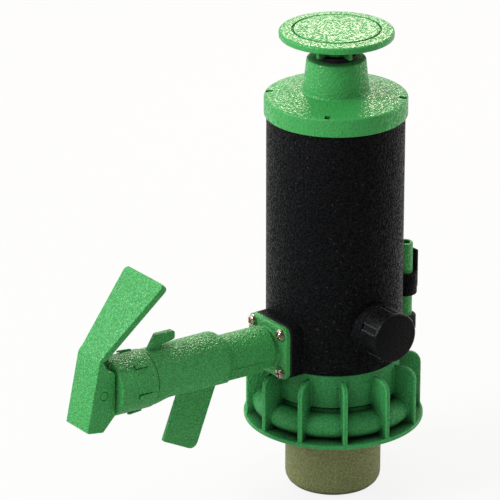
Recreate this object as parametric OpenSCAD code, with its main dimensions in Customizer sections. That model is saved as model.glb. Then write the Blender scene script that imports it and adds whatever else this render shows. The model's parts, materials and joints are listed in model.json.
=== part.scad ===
// Hand-operated chemical transfer pump for a drum.
// The origin is on the pump's axis at the lower face of the stub, +Z is up,
// the spout points along -X, the plugged port along -Y and the vent tube stands at +X.

/* [Fits] */
// Gap between pieces that move past each other
run_gap = 0.3; // [0.2:0.05:0.5]
// Radial clearance of a shaft in its bearing
shaft_gap = 0.05; // [0.02:0.01:0.1]
// Radial clearance of pieces that are fixed together
seat_gap = 0.1; // [0.05:0.05:0.2]

/* [Drum fitting] */
// Diameter of the stub that stands in the drum neck
stub_d = 63; // [56:0.5:68]
// Length of the stub below the collar
stub_len = 48.5; // [36:0.5:80]
// Rounding of the stub's lower edge
stub_round = 6; // [1:0.5:8]
// Bore for the dip tube
dip_bore_d = 25.2; // [23:0.1:28]
// Depth of the bore for the dip tube
dip_bore_len = 30; // [15:1:36]
// Thickness of the adaptor's flange
adaptor_flange_t = 7.4; // [4:0.2:10]
// Thickness of the gasket under that flange
neck_gasket_t = 3; // [2:0.5:5]

/* [Collar] */
// Height of the collar
collar_h = 45.2; // [42:0.2:60]
// Diameter of the collar's upper wall
collar_d = 86; // [82:1:96]
// Thickness of the collar's wall
collar_wall = 3.8; // [2.5:0.1:5]
// Thickness of the lip that hangs the collar
collar_lip_t = 6; // [4:0.5:9]
// Diameter of the rim at the bottom
rim_d = 118; // [112:1:130]
// Thickness of the rim at the bottom
rim_t = 2.8; // [2:0.1:5]
// Diameter of the bead over the thread
bead_d = 107; // [94:0.5:110]
// Height of the bead over the thread
bead_h = 16.6; // [14:0.2:30]
// Number of grip ribs
rib_count = 12; // [6:1:18]
// Thickness of a grip rib
rib_t = 3.2; // [2:0.1:5]
// Diameter over the grip ribs
rib_span_d = 115.4; // [106:0.2:117]
// Rounding of a rib's upper corner
rib_round = 8; // [2:0.5:10]

/* [Body] */
// Outside diameter of the cylinder
body_d = 89; // [84:1:100]
// Wall of the cylinder
body_wall = 4; // [3:0.25:6]
// Thickness of the floor
floor_t = 6; // [5.5:0.5:9]
// Bore of the inlet
inlet_bore_d = 22; // [16:1:22]
// Outside diameter of the spigot under the floor
spigot_d = 48; // [44:1:52]
// Length of the spigot under the floor
spigot_len = 32; // [18:1:40]
// Height of the neck that takes the cap
neck_h = 7.3; // [5:0.1:8]
// Step from the cylinder in to that neck
neck_step = 1.5; // [1:0.1:2]

/* [Plunger] */
// Stroke of the plunger
stroke = 100; // [60:5:140]
// Thickness of the piston
piston_t = 16; // [12:1:24]
// Diameter of the rod
rod_d = 12; // [10:0.5:14]
// Diameter of the rod's threaded end
rod_end_d = 8; // [6:0.5:9]
// Section of a piston ring
piston_ring_d = 3.6; // [2.4:0.2:5]
// Diameter of the knob
knob_d = 73.6; // [60:0.2:90]
// Thickness of the knob's plate
knob_t = 4.5; // [4:0.1:8]
// Fall of the knob's crown from its middle to its rim
knob_fall = 2; // [0.5:0.1:3]
// Height of the ribs under the knob
knob_rib_h = 12.7; // [8:0.1:20]
// Number of ribs under the knob
knob_rib_count = 5; // [3:1:8]

/* [Cap] */
// How far the cap stands out from the cylinder
cap_over = 1.6; // [1.2:0.1:4]
// Height of the cap's side
cap_side_h = 11.9; // [11:0.1:18]
// Rise of the cap's top to the boss
cap_rise = 3.7; // [2:0.1:8]
// Diameter of the boss at its foot
boss_foot_d = 42.6; // [36:0.2:50]
// Diameter of the boss at its top
boss_top_d = 38; // [32:0.2:42]
// Height of the boss
boss_h = 22; // [16:0.5:40]
// Thickness of the ring under the knob
bump_t = 2.7; // [1.5:0.1:5]
// Wall of the rod's bush
bush_wall = 3; // [2:0.25:4]

/* [Foot valve] */
// Lift of the foot valve
valve_lift = 5; // [3:0.5:8]
// Diameter of the valve's disc
valve_disc_d = 26; // [25.5:0.1:27]
// Diameter of the valve's stem
valve_stem_d = 5; // [4:0.25:6]

/* [Plug] */
// Height of the plugged port above the floor
plug_rise = 24; // [22:0.5:40]
// Bore of the plugged port
plug_bore_d = 17; // [10:0.5:18]
// Outside diameter of the port's nozzle
nozzle_d = 24; // [22:0.5:26]
// Diameter of the plug
plug_d = 33; // [31:0.5:40]
// Length of the plug
plug_len = 16.3; // [12:0.1:22]
// Height of the pad behind the plug
plug_pad_h = 3.5; // [2:0.1:6]

/* [Spout] */
// Upward tilt of the spout
spout_tilt = 2.5; // [0:0.5:4]
// Bore of the outlet in the body
outlet_bore_d = 19; // [15:0.5:20]
// Width of the flange
flange_w = 40; // [39:0.5:46]
// Height of the flange
flange_h = 36; // [35.5:0.5:42]
// Thickness of the flange
flange_t = 4; // [3.4:0.1:7]
// Corner rounding of the flange
flange_round = 5; // [2:0.5:6]
// How far the pad behind the flange stands off the cylinder
pad_stand = 5; // [3:0.5:9]
// Thickness of the flange gasket
gasket_t = 1; // [0.5:0.1:2]
// Spacing of the screws across
screw_pitch_y = 29.8; // [29.6:0.2:31]
// Spacing of the screws up and down
screw_pitch_z = 26.8; // [26:0.2:28]
// Diameter of the screws
screw_d = 4.2; // [3:0.1:4.6]
// Length of the screws under the head
screw_len = 13; // [9:0.5:13]
// Outside diameter of the rear tube
tube_d = 29.5; // [28.5:0.1:31]
// Length of the rear tube
tube_len = 37.5; // [30:0.5:60]
// Outside diameter of the barrel
barrel_d = 37.8; // [36.5:0.1:42]
// Length of the barrel with its step
barrel_len = 60.5; // [52:0.5:80]
// Depth of the flat underside below the spout's axis
underside = 9.8; // [9:0.1:12]
// Length of the nose sleeve
sleeve_len = 28.5; // [28:0.5:50]
// Wall of the nose sleeve
sleeve_wall = 2.4; // [1.8:0.1:3]
// Least wall around the spout's bore
tube_wall = 2.3; // [1.8:0.1:3]
// Thickness of the blade under the barrel
blade_t = 3; // [2:0.2:6]
// Length of the blade along the barrel
blade_w = 29.7; // [20:0.1:32]
// Reach of the blade on its pump side
blade_len = 54.6; // [40:0.2:70]
// Lean of the blade away from the pump
blade_lean = 19.2; // [5:0.2:25]
// Thickness of the hook on the barrel
hook_t = 4.5; // [3:0.1:8]

/* [Tap] */
// Distance from the sleeve's end to the lever's pin
pin_reach = 9.2; // [8.6:0.1:14]
// Diameter of the lever's pin
pin_d = 5.5; // [4:0.1:6]
// Diameter of the tap's stem
stem_d = 6; // [4.5:0.25:7]
// Diameter of the tap's disc
tap_disc_d = 22; // [19:0.5:23]
// Bore of the tap's seat
tap_bore_d = 15; // [12:0.5:17]
// Width of the lever
lever_w = 24; // [20:0.5:30]
// Thickness of the lever's plate
lever_t = 3; // [2.4:0.1:4]
// Thickness of the lever's cheeks
cheek_t = 2.5; // [2:0.1:4]
// Length of the hood from the bend down
hood_len = 46.5; // [40:0.5:60]
// Lean of the hood
hood_lean = 12.3; // [6:0.1:16]
// Length of the thumb plate
thumb_len = 61; // [40:0.5:70]
// Lean of the thumb plate from the vertical
thumb_lean = 44.5; // [30:0.5:48]
// Width of the thumb plate at its tip
thumb_tip_w = 42; // [26:0.5:50]
// Thickness of the thumb plate
thumb_t = 4.8; // [3:0.1:6]

/* [Vent] */
// Outside diameter of the vent tube
vent_d = 10.6; // [9:0.1:12]
// Bore of the vent tube
vent_bore_d = 6.5; // [4:0.1:7]
// Height of the vent tube above the floor's underside
vent_rise = 61.5; // [50:0.5:120]
// Distance from the cylinder to the vent tube's axis
vent_stand = 14; // [13:0.5:18]
// Diameter of the clip's ring
clip_d = 16.8; // [15:0.2:18]
// Height of the clip's ring
clip_h = 15; // [8:0.5:20]

/* [Hidden] */
$fn = 64;

// Colours
green = [0.20, 0.55, 0.29];
black = [0.07, 0.07, 0.08];
khaki = [0.42, 0.44, 0.28];
rubber = [0.12, 0.12, 0.12];
steel = [0.75, 0.76, 0.78];
natural = [0.87, 0.86, 0.80];

// Small shared sizes
eps = 0.01;
// How far a cut runs past the face it opens
cut = 1;
edge = 1;
arc_steps = 6;
seal_groove_gap = 0.05;

// Levels from the stub upward
collar_z = stub_len;
collar_top = collar_z + collar_h;
body_z = collar_top + run_gap;
floor_top = body_z + floor_t;
lip_z = collar_top - collar_lip_t;
adaptor_top = lip_z - run_gap;
adaptor_flange_z = adaptor_top - adaptor_flange_t;
spigot_z = body_z - spigot_len;
port_lip = 0.5;
spout_z = floor_top + outlet_bore_d / 2 + port_lip;
plug_z = floor_top + plug_rise;

// Radii of the drum fitting and the body
collar_bore_r = collar_d / 2 - collar_wall;
adaptor_flange_r = collar_bore_r - run_gap;
spigot_r = spigot_d / 2;
socket_r = spigot_r + seat_gap;
body_r = body_d / 2;
bore_r = body_r - body_wall;
neck_r = body_r - neck_step;
adaptor_ring_d = 2.4;
adaptor_ring_rise = 8;
adaptor_ring_z = spigot_z + adaptor_ring_rise;
adaptor_ring_r = spigot_r + seal_groove_gap - adaptor_ring_d / 2;
air_hole_d = 3;
air_hole_r = (inlet_bore_d + spigot_d) / 4;
air_z = body_z + floor_t / 2;

// Collar ribs stop below whatever overhangs them
rib_gap = 2;
rib_top = min(body_z, spout_z - flange_h / 2) - rib_gap;
rib_root_sink = 2;
rib_root_r = collar_d / 2 - rib_root_sink;

// Foot valve
seat_rim_h = 1.5;
seat_rim_w = 1.5;
valve_seal_t = 1;
valve_disc_t = 2;
valve_seal_z = floor_top + seat_rim_h + run_gap;
valve_disc_z = valve_seal_z + valve_seal_t;
valve_spring_z = valve_disc_z + valve_disc_t;
valve_spring_shut = 4.5;
valve_spring_len = valve_lift + valve_spring_shut;
cage_bridge_t = 4;
cage_bridge_z = valve_spring_z + valve_spring_len;
cage_top = cage_bridge_z + cage_bridge_t;
cage_ring_h = 3;
cage_clear = 1.5;
cage_wall = 2.5;
cage_in_r = valve_disc_d / 2 + cage_clear;
cage_out_r = cage_in_r + cage_wall;
cage_leg_w = 4;
cage_legs = 4;
cage_hub_wall = 3.5;
cage_hub_r = valve_stem_d / 2 + cage_hub_wall;
valve_stem_tail = 0.7;
valve_stem_top = cage_top + valve_stem_tail;
valve_wire_d = 0.9;
valve_turns = 4;
valve_coil_clear = 2.4;
valve_coil_r = valve_stem_d / 2 + valve_coil_clear;

// Piston and rod
washer_t = 1.6;
nut_t = 6.5;
nut_flat = 2.5;
nut_af = rod_end_d + 2 * nut_flat;
washer_over = 7.8;
washer_r = nut_af / 2 + washer_over;
rod_tail = 1;
port_clear = 1.5;
stack_clear = 0.9;
piston_z = max(
    plug_z + plug_bore_d / 2 + port_clear,
    valve_stem_top + valve_lift + rod_tail + nut_t + washer_t + stack_clear
);
piston_top = piston_z + piston_t;
piston_r = bore_r - run_gap;
rod_r = rod_d / 2;
rod_end_r = rod_end_d / 2;
nut_z = piston_z - washer_t - nut_t;
ring_fit = 0.1;
piston_ring_r = bore_r - ring_fit - piston_ring_d / 2;
piston_ring_share = [0.28, 0.72];

// Cap
cap_plug_len = 4;
top_clear = 4.7;
shoulder_z = piston_top + stroke + top_clear + cap_plug_len;
body_top = shoulder_z + neck_h;
cap_r = body_r + cap_over;
cap_edge_z = shoulder_z + cap_side_h;
boss_z = cap_edge_z + cap_rise;
boss_top = boss_z + boss_h;
cap_plug_r = bore_r - seat_gap;
cap_plug_wall = 4.3;
cap_ring_d = 2.2;
cap_ring_rise = 2;
cap_ring_z = shoulder_z + cap_ring_rise;
cap_ring_r = bore_r - seal_groove_gap - cap_ring_d / 2;
notch_len = 4.8;
notch_w = 3.6;
notch_deep = 3;
notch_rim = 0.8;
notch_count = 4;
cap_slope = atan(cap_rise / (cap_r - boss_foot_d / 2));
boss_taper = atan((boss_foot_d - boss_top_d) / 2 / boss_h);
boss_round = 2;
bush_r = rod_r + bush_wall;
bush_flange_w = 3;
bush_flange_r = bush_r + bush_flange_w;
bush_flange_t = 2;
cap_under = body_top + seat_gap;
wiper_h = 6;
wiper_step = 3;
wiper_r = bush_r + wiper_step;
bush_top = boss_top - wiper_h;
bump_clear = 1.5;
bump_w = 5.5;
bump_in_r = rod_r + bump_clear;
bump_out_r = bump_in_r + bump_w;

// Knob
knob_z = boss_top + bump_t + run_gap;
knob_r = knob_d / 2;
knob_under = knob_z + knob_rib_h;
knob_top = knob_under + knob_t;
knob_hub_wall = 4;
knob_hub_r = rod_r + knob_hub_wall;
knob_rib_inset = 1;
knob_rib_r = boss_top_d / 2 - knob_rib_inset;
knob_rib_t = 2.4;
knob_skirt_h = 8;
knob_rib_turn = -97.5;
knob_groove_share = 0.74;
knob_groove_r = knob_groove_share * knob_r;
knob_groove_w = 1.4;
knob_groove_deep = 0.9;
rod_sink = 1;
rod_top = knob_under + rod_sink;

// Plug on its nozzle
plug_pad_over = 0.6;
plug_pad_r = plug_d / 2 + plug_pad_over;
plug_y = body_r + plug_pad_h + run_gap;
plug_end = plug_y + plug_len;
plug_gasket_t = 1.4;
plug_floor_t = 2;
plug_floor_y = plug_end - plug_floor_t;
plug_gasket_y = plug_floor_y - run_gap - plug_gasket_t;
nozzle_end = plug_gasket_y - run_gap;
plug_skirt_r = nozzle_d / 2 + run_gap;
plug_pads = 5;
plug_groove_turn = 11;
plug_groove_w = 4;
plug_groove_deep = 1.8;
plug_face_t = 2;

// Spout
pad_face = body_r + pad_stand;
flange_back = pad_face + gasket_t;
spout_face = flange_back + flange_t;
tube_r = tube_d / 2;
tube_bore_r = min(tube_r, underside) - tube_wall;
tube_neck_len = 8;
head_ratio = 1.9;
head_height_ratio = 0.62;
screw_head_d = head_ratio * screw_d;
screw_head_h = head_height_ratio * screw_d;
screw_slot_w = 0.9;
screw_slot_deep = 1.2;
screw_hole_slack = 0.2;
tube_neck_r = min(
    tube_r,
    norm([screw_pitch_y, screw_pitch_z]) / 2 - screw_head_d / 2 - run_gap
);
barrel_r = barrel_d / 2;
barrel_x = tube_len;
step_len = 5.5;
sleeve_x = tube_len + barrel_len;
sleeve_end = sleeve_x + sleeve_len;
sleeve_in_r = barrel_r - sleeve_wall;
neck_drop = 0.7;
barrel_neck_r = barrel_r - neck_drop;
barrel_neck_len = 24.5;
arch_r = 11;
arch_land = 0.3;
arch_x = sleeve_x - arch_r - arch_land;
nose_r = sleeve_in_r - seat_gap;
nose_wall = 3;
nose_bore_r = nose_r - nose_wall;
nose_len = 23.4;
nose_end = sleeve_x + nose_len;
lip_len = 4.5;
sleeve_lip = 2;
sleeve_lip_r = sleeve_in_r - sleeve_lip;
window_count = 6;
window_turn = 50;
window_len = 10;
window_w = 3.2;
window_setback = 5.5;
window_x = sleeve_x + window_setback;
tab_gap = 0.4;
tab_sink = 0.6;
tab_proud = barrel_r - tab_sink;
blade_setback = 0.5;
blade_x = barrel_x + blade_setback;
blade_short = 12.6;
blade_round = 5;
blade_sink = 2;
hook_base_len = 11.5;
hook_arm_len = 21.7;
hook_rise = 9.9;
hook_slot = 4.2;
hook_sink = 3;
hook_lean = 7.4;
hook_round = 2;

// Outlet flap
flap_t = 1.8;
flap_lap = 0.7;
flap_r = outlet_bore_d / 2 + flap_lap;
flap_knuckle_r = 1.6;
flap_pin_r = 0.8;
flap_pin_len = 16;
flap_knuckle_len = 10;
flap_ear_w = 8;
flap_side_gap = 1.2;
flange_bore_r = flap_r + flap_side_gap;
flap_room_end = 1;
flap_room = tube_neck_len - flap_room_end;
flap_pivot_x = pad_face + run_gap + flap_knuckle_r;
flap_knuckle_rise = 0.1;
flap_pivot_z = spout_z + flap_r + flap_knuckle_r + flap_knuckle_rise;
flap_pocket_w = flap_knuckle_len + 2 * run_gap;
flap_pocket_drop = 4;
flap_pocket_rise = flap_knuckle_r + run_gap;

// Tap
tap_seat_t = 4;
arch_cover = max(0, underside + arch_r - nose_bore_r - tube_wall);
tap_seat_x = arch_x + sqrt(arch_r * arch_r - arch_cover * arch_cover);
tap_seal_t = 1;
tap_disc_t = 2.5;
tap_seal_x = tap_seat_x + tap_seat_t + run_gap;
tap_disc_x = tap_seal_x + tap_seal_t;
tap_spring_x = tap_disc_x + tap_disc_t;
guide_t = 5;
guide_x = nose_end - guide_t;
guide_hub_wall = 2.6;
guide_hub_r = stem_d / 2 + guide_hub_wall;
guide_ring_w = 2;
guide_arm_w = 3;
guide_arms = 3;
tap_wire_d = 1.2;
tap_turns = 4;
tap_coil_clear = 3;
tap_coil_r = stem_d / 2 + tap_coil_clear;
coil_slack = 0.2;
pin_x = sleeve_end + pin_reach;
stem_eye_wall = 2.1;
stem_eye_r = pin_d / 2 + stem_eye_wall;
stem_eye_w = lever_w - 2 * cheek_t - 2 * run_gap;
pin_at = [-spout_face - pin_x * cos(spout_tilt), 0, spout_z + pin_x * sin(spout_tilt)];

// Lever, measured from its pin: first outward, then up
bend_up = 22.5;
hood_clear = 0.5;
bend_out = stem_eye_r + hood_clear - bend_up * tan(hood_lean);
bend = [bend_out, bend_up];
bend_inset = seat_gap / 2;
bend_r = lever_t - bend_inset;
bend_stub = 2;
hood_out = [cos(hood_lean), sin(hood_lean)];
thumb_out = [cos(thumb_lean), sin(thumb_lean)];
thumb_up = [-sin(thumb_lean), cos(thumb_lean)];
cheek_back = pin_reach - run_gap - barrel_r * tan(spout_tilt);
cheek_top = 15.5;
cheek_low = 15;
cheek_round = 4;
cheek_chamfer = 9.5;
thumb_round = 4;
hood_foot = bend + hood_len * [sin(hood_lean), -cos(hood_lean)];

// Vent
vent_x = body_r + vent_stand;
vent_top = body_z + vent_rise;
vent_socket_wall = 2.7;
vent_socket_r = vent_d / 2 + vent_socket_wall;
vent_socket_rise = 4;
vent_socket_top = floor_top + vent_socket_rise;
vent_seat_deep = 6;
vent_seat_z = vent_socket_top - vent_seat_deep;
vent_web_w = 11.2;
clip_drop = 36;
clip_z = vent_top - clip_drop;
clip_spine_w = 5;
clip_spine_rise = 14;
clip_spine_t = 2.2;
clip_chamfer = 3;

// Points of an arc
function arc(centre, r, from, to) =
    [for (i = [0 : arc_steps]) let (a = from + (to - from) * i / arc_steps)
        centre + r * [cos(a), sin(a)]];

function unit(v) = v / norm(v);

// Arc that rounds the corner b between its neighbours a and c
function corner(a, b, c, r) =
    let (
        u = unit(a - b),
        v = unit(c - b),
        half = acos(u * v) / 2,
        centre = b + unit(u + v) * r / sin(half),
        p = b + u * r / tan(half) - centre,
        q = b + v * r / tan(half) - centre,
        from = atan2(p.y, p.x),
        turn = (atan2(q.y, q.x) - from + 540) % 360 - 180
    )
    arc(centre, r, from, from + turn);

// Outline with a radius at each corner, 0 for a sharp one
function rounded(points, radii) =
    let (n = len(points))
    [for (i = [0 : n - 1])
        each (radii[i] > 0
            ? corner(points[(i + n - 1) % n], points[i], points[(i + 1) % n], radii[i])
            : [points[i]])];

function box_outline(w, h) = [[-w / 2, -h / 2], [w / 2, -h / 2], [w / 2, h / 2], [-w / 2, h / 2]];

// Ring of rectangular section
module ring(out_r, in_r, h) {
    difference() {
        cylinder(r = out_r, h = h);
        translate([0, 0, -cut]) cylinder(r = in_r, h = h + 2 * cut);
    }
}

module torus(r, section_d) {
    rotate_extrude() translate([r, 0]) circle(d = section_d);
}

// Round bar along +X
module bar_x(from, to, r) {
    translate([from, 0, 0]) rotate([0, 90, 0]) cylinder(r = r, h = to - from);
}

// Outline in Y and Z, thickened along +X
module plate_x(t) {
    rotate([90, 0, 90]) linear_extrude(t) children();
}

// Outline in X and Z, thickened to both sides of Y
module plate_y(t) {
    translate([0, t / 2, 0]) rotate([90, 0, 0]) linear_extrude(t) children();
}

// Helical spring along +Z, as one unbroken tube of six sides
module coil(r, wire, h, turns) {
    sides = 6;
    per_turn = 8;
    last = turns * per_turn;
    rise = (h - wire) / last;
    points = [for (i = [0 : last], j = [0 : sides - 1])
        let (a = 360 * i / per_turn, b = 360 * j / sides, q = r + wire / 2 * cos(b))
        [q * cos(a), q * sin(a), wire / 2 + rise * i + wire / 2 * sin(b)]];
    walls = [for (i = [0 : last - 1], j = [0 : sides - 1], half = [0, 1])
        let (k = (j + 1) % sides, p = i * sides, n = p + sides)
        half == 0 ? [p + j, p + k, n + k] : [p + j, n + k, n + j]];
    start = [for (j = [1 : sides - 2]) [0, j + 1, j]];
    finish = [for (j = [1 : sides - 2]) [last * sides, last * sides + j, last * sides + j + 1]];
    polyhedron(points, concat(walls, start, finish));
}

// Frame of the spout: +X runs out along its axis from the flange's face
module spout_frame() {
    translate([-spout_face, 0, spout_z]) rotate([0, spout_tilt, 0]) rotate([0, 0, 180]) children();
}

// Frame of the lever: origin at its pin, +X points away from the pump
module lever_frame() {
    translate(pin_at) rotate([0, 0, 180]) children();
}

// Frame of a port that points along -Y: +Z runs outward from the pump's axis
module plug_frame() {
    translate([0, 0, plug_z]) rotate([90, 0, 0]) children();
}

module at_screws() {
    for (y = [-1, 1], z = [-1, 1])
        translate([0, y * screw_pitch_y / 2, spout_z + z * screw_pitch_z / 2]) children();
}

// Outline of the flange, its pad and its gasket
module flange_outline() {
    polygon(rounded(box_outline(flange_w, flange_h), [for (i = [0 : 3]) flange_round]));
}

// Block of the flange's outline from one distance on -X to another
module flange_block(from, to) {
    translate([-to, 0, spout_z]) plate_x(to - from) flange_outline();
}

module cylinder_body() {
    color(black) difference() {
        union() {
            rotate_extrude() polygon([
                [0, body_z], [body_r - edge, body_z], [body_r, body_z + edge], [body_r, shoulder_z],
                [neck_r, shoulder_z], [neck_r, body_top], [bore_r, body_top], [bore_r, floor_top],
                [inlet_bore_d / 2 + seat_rim_w, floor_top],
                [inlet_bore_d / 2 + seat_rim_w, floor_top + seat_rim_h], [0, floor_top + seat_rim_h]
            ]);
            translate([0, 0, spigot_z]) cylinder(r = spigot_r, h = spigot_len + edge);
            difference() {
                union() {
                    flange_block(bore_r - body_wall, pad_face);
                    plug_frame() cylinder(r = plug_pad_r, h = body_r + plug_pad_h);
                    plug_frame() cylinder(d = nozzle_d, h = nozzle_end);
                    vent_socket();
                }
                translate([0, 0, spigot_z]) cylinder(r = bore_r + eps, h = body_top);
                translate([0, 0, spigot_z])
                    cylinder(r = collar_d / 2 + 2 * run_gap, h = body_z - spigot_z);
            }
        }
        translate([0, 0, spigot_z - cut]) cylinder(d = inlet_bore_d, h = body_top);
        translate([-pad_face - cut, 0, spout_z]) bar_x(0, pad_face, outlet_bore_d / 2);
        plug_frame() cylinder(d = plug_bore_d, h = nozzle_end + cut);
        translate([-pad_face - cut, 0, 0]) at_screws()
            bar_x(0, screw_len - flange_t - gasket_t + 2 * cut, screw_d / 2 + shaft_gap);
        translate([vent_x, 0, vent_seat_z]) cylinder(d = vent_d + 2 * seat_gap, h = vent_rise);
        translate([vent_x, 0, air_z]) cylinder(d = air_hole_d, h = vent_rise);
        translate([0, 0, air_z]) bar_x(air_hole_r, vent_x, air_hole_d / 2);
        translate([air_hole_r, 0, spigot_z - cut]) cylinder(d = air_hole_d, h = air_z - spigot_z + cut);
        translate([0, 0, adaptor_ring_z]) ring(
            spigot_r + cut,
            spigot_r - adaptor_ring_d,
            adaptor_ring_d + 2 * seal_groove_gap
        );
    }
}

// Socket on the body that the vent tube stands in
module vent_socket() {
    translate([vent_x, 0, body_z]) cylinder(r = vent_socket_r, h = vent_socket_top - body_z);
    translate([0, -vent_web_w / 2, body_z]) cube([vent_x, vent_web_w, vent_socket_top - body_z]);
}

module top_cap() {
    color(green) difference() {
        rotate_extrude() polygon([
            [0, cap_under], [cap_plug_r - cap_plug_wall, cap_under],
            [cap_plug_r - cap_plug_wall, shoulder_z - cap_plug_len],
            [cap_plug_r, shoulder_z - cap_plug_len], [cap_plug_r, cap_under],
            [neck_r + seat_gap, cap_under], [neck_r + seat_gap, shoulder_z],
            [cap_r, shoulder_z], each arc([cap_r - edge, cap_edge_z - edge], edge, 0, 90 - cap_slope),
            each arc([boss_foot_d / 2 + edge, boss_z + edge], edge, -90 - cap_slope, boss_taper - 180),
            each arc([boss_top_d / 2 - boss_round, boss_top - boss_round], boss_round, boss_taper, 90),
            [0, boss_top]
        ]);
        translate([0, 0, cap_under - cut]) cylinder(r = bush_r + seat_gap, h = boss_top);
        translate([0, 0, bush_top]) cylinder(r = wiper_r + seat_gap, h = wiper_h + cut);
        translate([0, 0, cap_ring_z - cap_ring_d / 2 - seal_groove_gap]) ring(
            cap_plug_r + seat_gap / 2,
            cap_ring_r - cap_ring_d / 2 - seal_groove_gap,
            cap_ring_d + 2 * seal_groove_gap
        );
        for (i = [0 : notch_count - 1]) rotate(45 + i * 360 / notch_count)
            translate([cap_r - notch_rim - notch_len, -notch_w / 2, cap_edge_z - notch_deep])
                cube([notch_len, notch_w, cap_rise + notch_deep]);
    }
}

module cap_seal_ring() {
    color(rubber) translate([0, 0, cap_ring_z]) torus(cap_ring_r, cap_ring_d);
}

module rod_guide_bush() {
    color(natural) difference() {
        union() {
            translate([0, 0, cap_under - bush_flange_t]) cylinder(r = bush_flange_r, h = bush_flange_t);
            translate([0, 0, cap_under - eps]) cylinder(r = bush_r, h = bush_top - cap_under + eps);
        }
        translate([0, 0, shoulder_z]) cylinder(r = rod_r + shaft_gap, h = boss_top);
    }
}

module rod_wiper_seal() {
    color(rubber) translate([0, 0, bush_top]) ring(wiper_r, rod_r + shaft_gap, wiper_h);
}

module bump_ring() {
    color(rubber) translate([0, 0, boss_top]) ring(bump_out_r, bump_in_r, bump_t);
}

module foot_valve_cage() {
    color(natural) difference() {
        union() {
            translate([0, 0, floor_top]) ring(cage_out_r, cage_in_r, cage_ring_h);
            intersection() {
                for (i = [0 : cage_legs / 2 - 1]) rotate(45 + i * 360 / cage_legs)
                    translate([-cage_out_r, -cage_leg_w / 2, floor_top])
                        cube([2 * cage_out_r, cage_leg_w, cage_top - floor_top]);
                translate([0, 0, floor_top]) cylinder(r = cage_out_r, h = cage_top - floor_top);
            }
            translate([0, 0, cage_bridge_z]) cylinder(r = cage_hub_r, h = cage_bridge_t);
        }
        translate([0, 0, floor_top - cut]) cylinder(r = cage_in_r, h = cage_bridge_z - floor_top + cut);
        translate([0, 0, floor_top]) cylinder(d = valve_stem_d + 2 * shaft_gap, h = cage_top);
    }
}

module foot_valve_spring() {
    color(steel) translate([0, 0, valve_spring_z + coil_slack])
        coil(valve_coil_r, valve_wire_d, valve_spring_len - 2 * coil_slack, valve_turns);
}

module foot_valve_disc() {
    color(natural) {
        translate([0, 0, valve_disc_z]) cylinder(d = valve_disc_d, h = valve_disc_t);
        translate([0, 0, valve_disc_z]) cylinder(d = valve_stem_d, h = valve_stem_top - valve_disc_z);
    }
}

module foot_valve_seal() {
    color(rubber) translate([0, 0, valve_seal_z]) cylinder(d = valve_disc_d, h = valve_seal_t);
}

module inlet_adaptor() {
    stub_r = stub_d / 2;
    color(khaki) difference() {
        rotate_extrude() polygon([
            [0, 0], each arc([stub_r - stub_round, stub_round], stub_round, -90, 0),
            [stub_r, adaptor_flange_z], [adaptor_flange_r, adaptor_flange_z],
            [adaptor_flange_r, adaptor_top], [0, adaptor_top]
        ]);
        translate([0, 0, -cut]) cylinder(d = dip_bore_d, h = dip_bore_len + cut);
        translate([0, 0, cut]) cylinder(d = inlet_bore_d, h = adaptor_top);
        translate([0, 0, spigot_z]) cylinder(r = socket_r, h = adaptor_top);
        translate([air_hole_r, 0, -cut]) cylinder(d = air_hole_d, h = adaptor_top);
    }
}

module adaptor_seal_ring() {
    color(rubber) translate([0, 0, adaptor_ring_z + adaptor_ring_d / 2 + seal_groove_gap])
        torus(adaptor_ring_r, adaptor_ring_d);
}

module neck_gasket() {
    color(rubber) translate([0, 0, adaptor_flange_z - neck_gasket_t])
        ring(adaptor_flange_r, stub_d / 2 + seat_gap, neck_gasket_t);
}

module collar() {
    wall_r = collar_d / 2;
    bead_stand = (bead_d - collar_d) / 2;
    bead_arc_r = (bead_h * bead_h / 4 + bead_stand * bead_stand) / (2 * bead_stand);
    bead_z = collar_z + rim_t + bead_h / 2;
    color(green) difference() {
        union() {
            translate([0, 0, collar_z]) cylinder(d = rim_d, h = rim_t);
            translate([0, 0, collar_z]) cylinder(r = wall_r, h = collar_h);
            rotate_extrude() intersection() {
                translate([bead_d / 2 - bead_arc_r, bead_z]) circle(r = bead_arc_r);
                translate([0, bead_z - bead_h]) square([bead_d, 2 * bead_h]);
            }
            for (i = [0 : rib_count - 1]) rotate(i * 360 / rib_count) collar_rib();
        }
        translate([0, 0, collar_z - bead_h]) cylinder(r = collar_bore_r, h = lip_z - collar_z + bead_h);
        translate([0, 0, collar_z]) cylinder(r = spigot_r + run_gap, h = collar_h + cut);
    }
}

module collar_rib() {
    out_r = rib_span_d / 2;
    plate_y(rib_t) polygon([
        [rib_root_r, collar_z + rim_t / 2], [out_r, collar_z + rim_t / 2],
        each arc([out_r - rib_round, rib_top - rib_round], rib_round, 0, 90),
        [rib_root_r, rib_top]
    ]);
}

function crown_at(r) = [r, knob_top - knob_fall * pow(r / knob_r, 2)];
function crown(from, to) =
    [for (i = [0 : arc_steps]) crown_at(from + (to - from) * i / arc_steps)];

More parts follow.
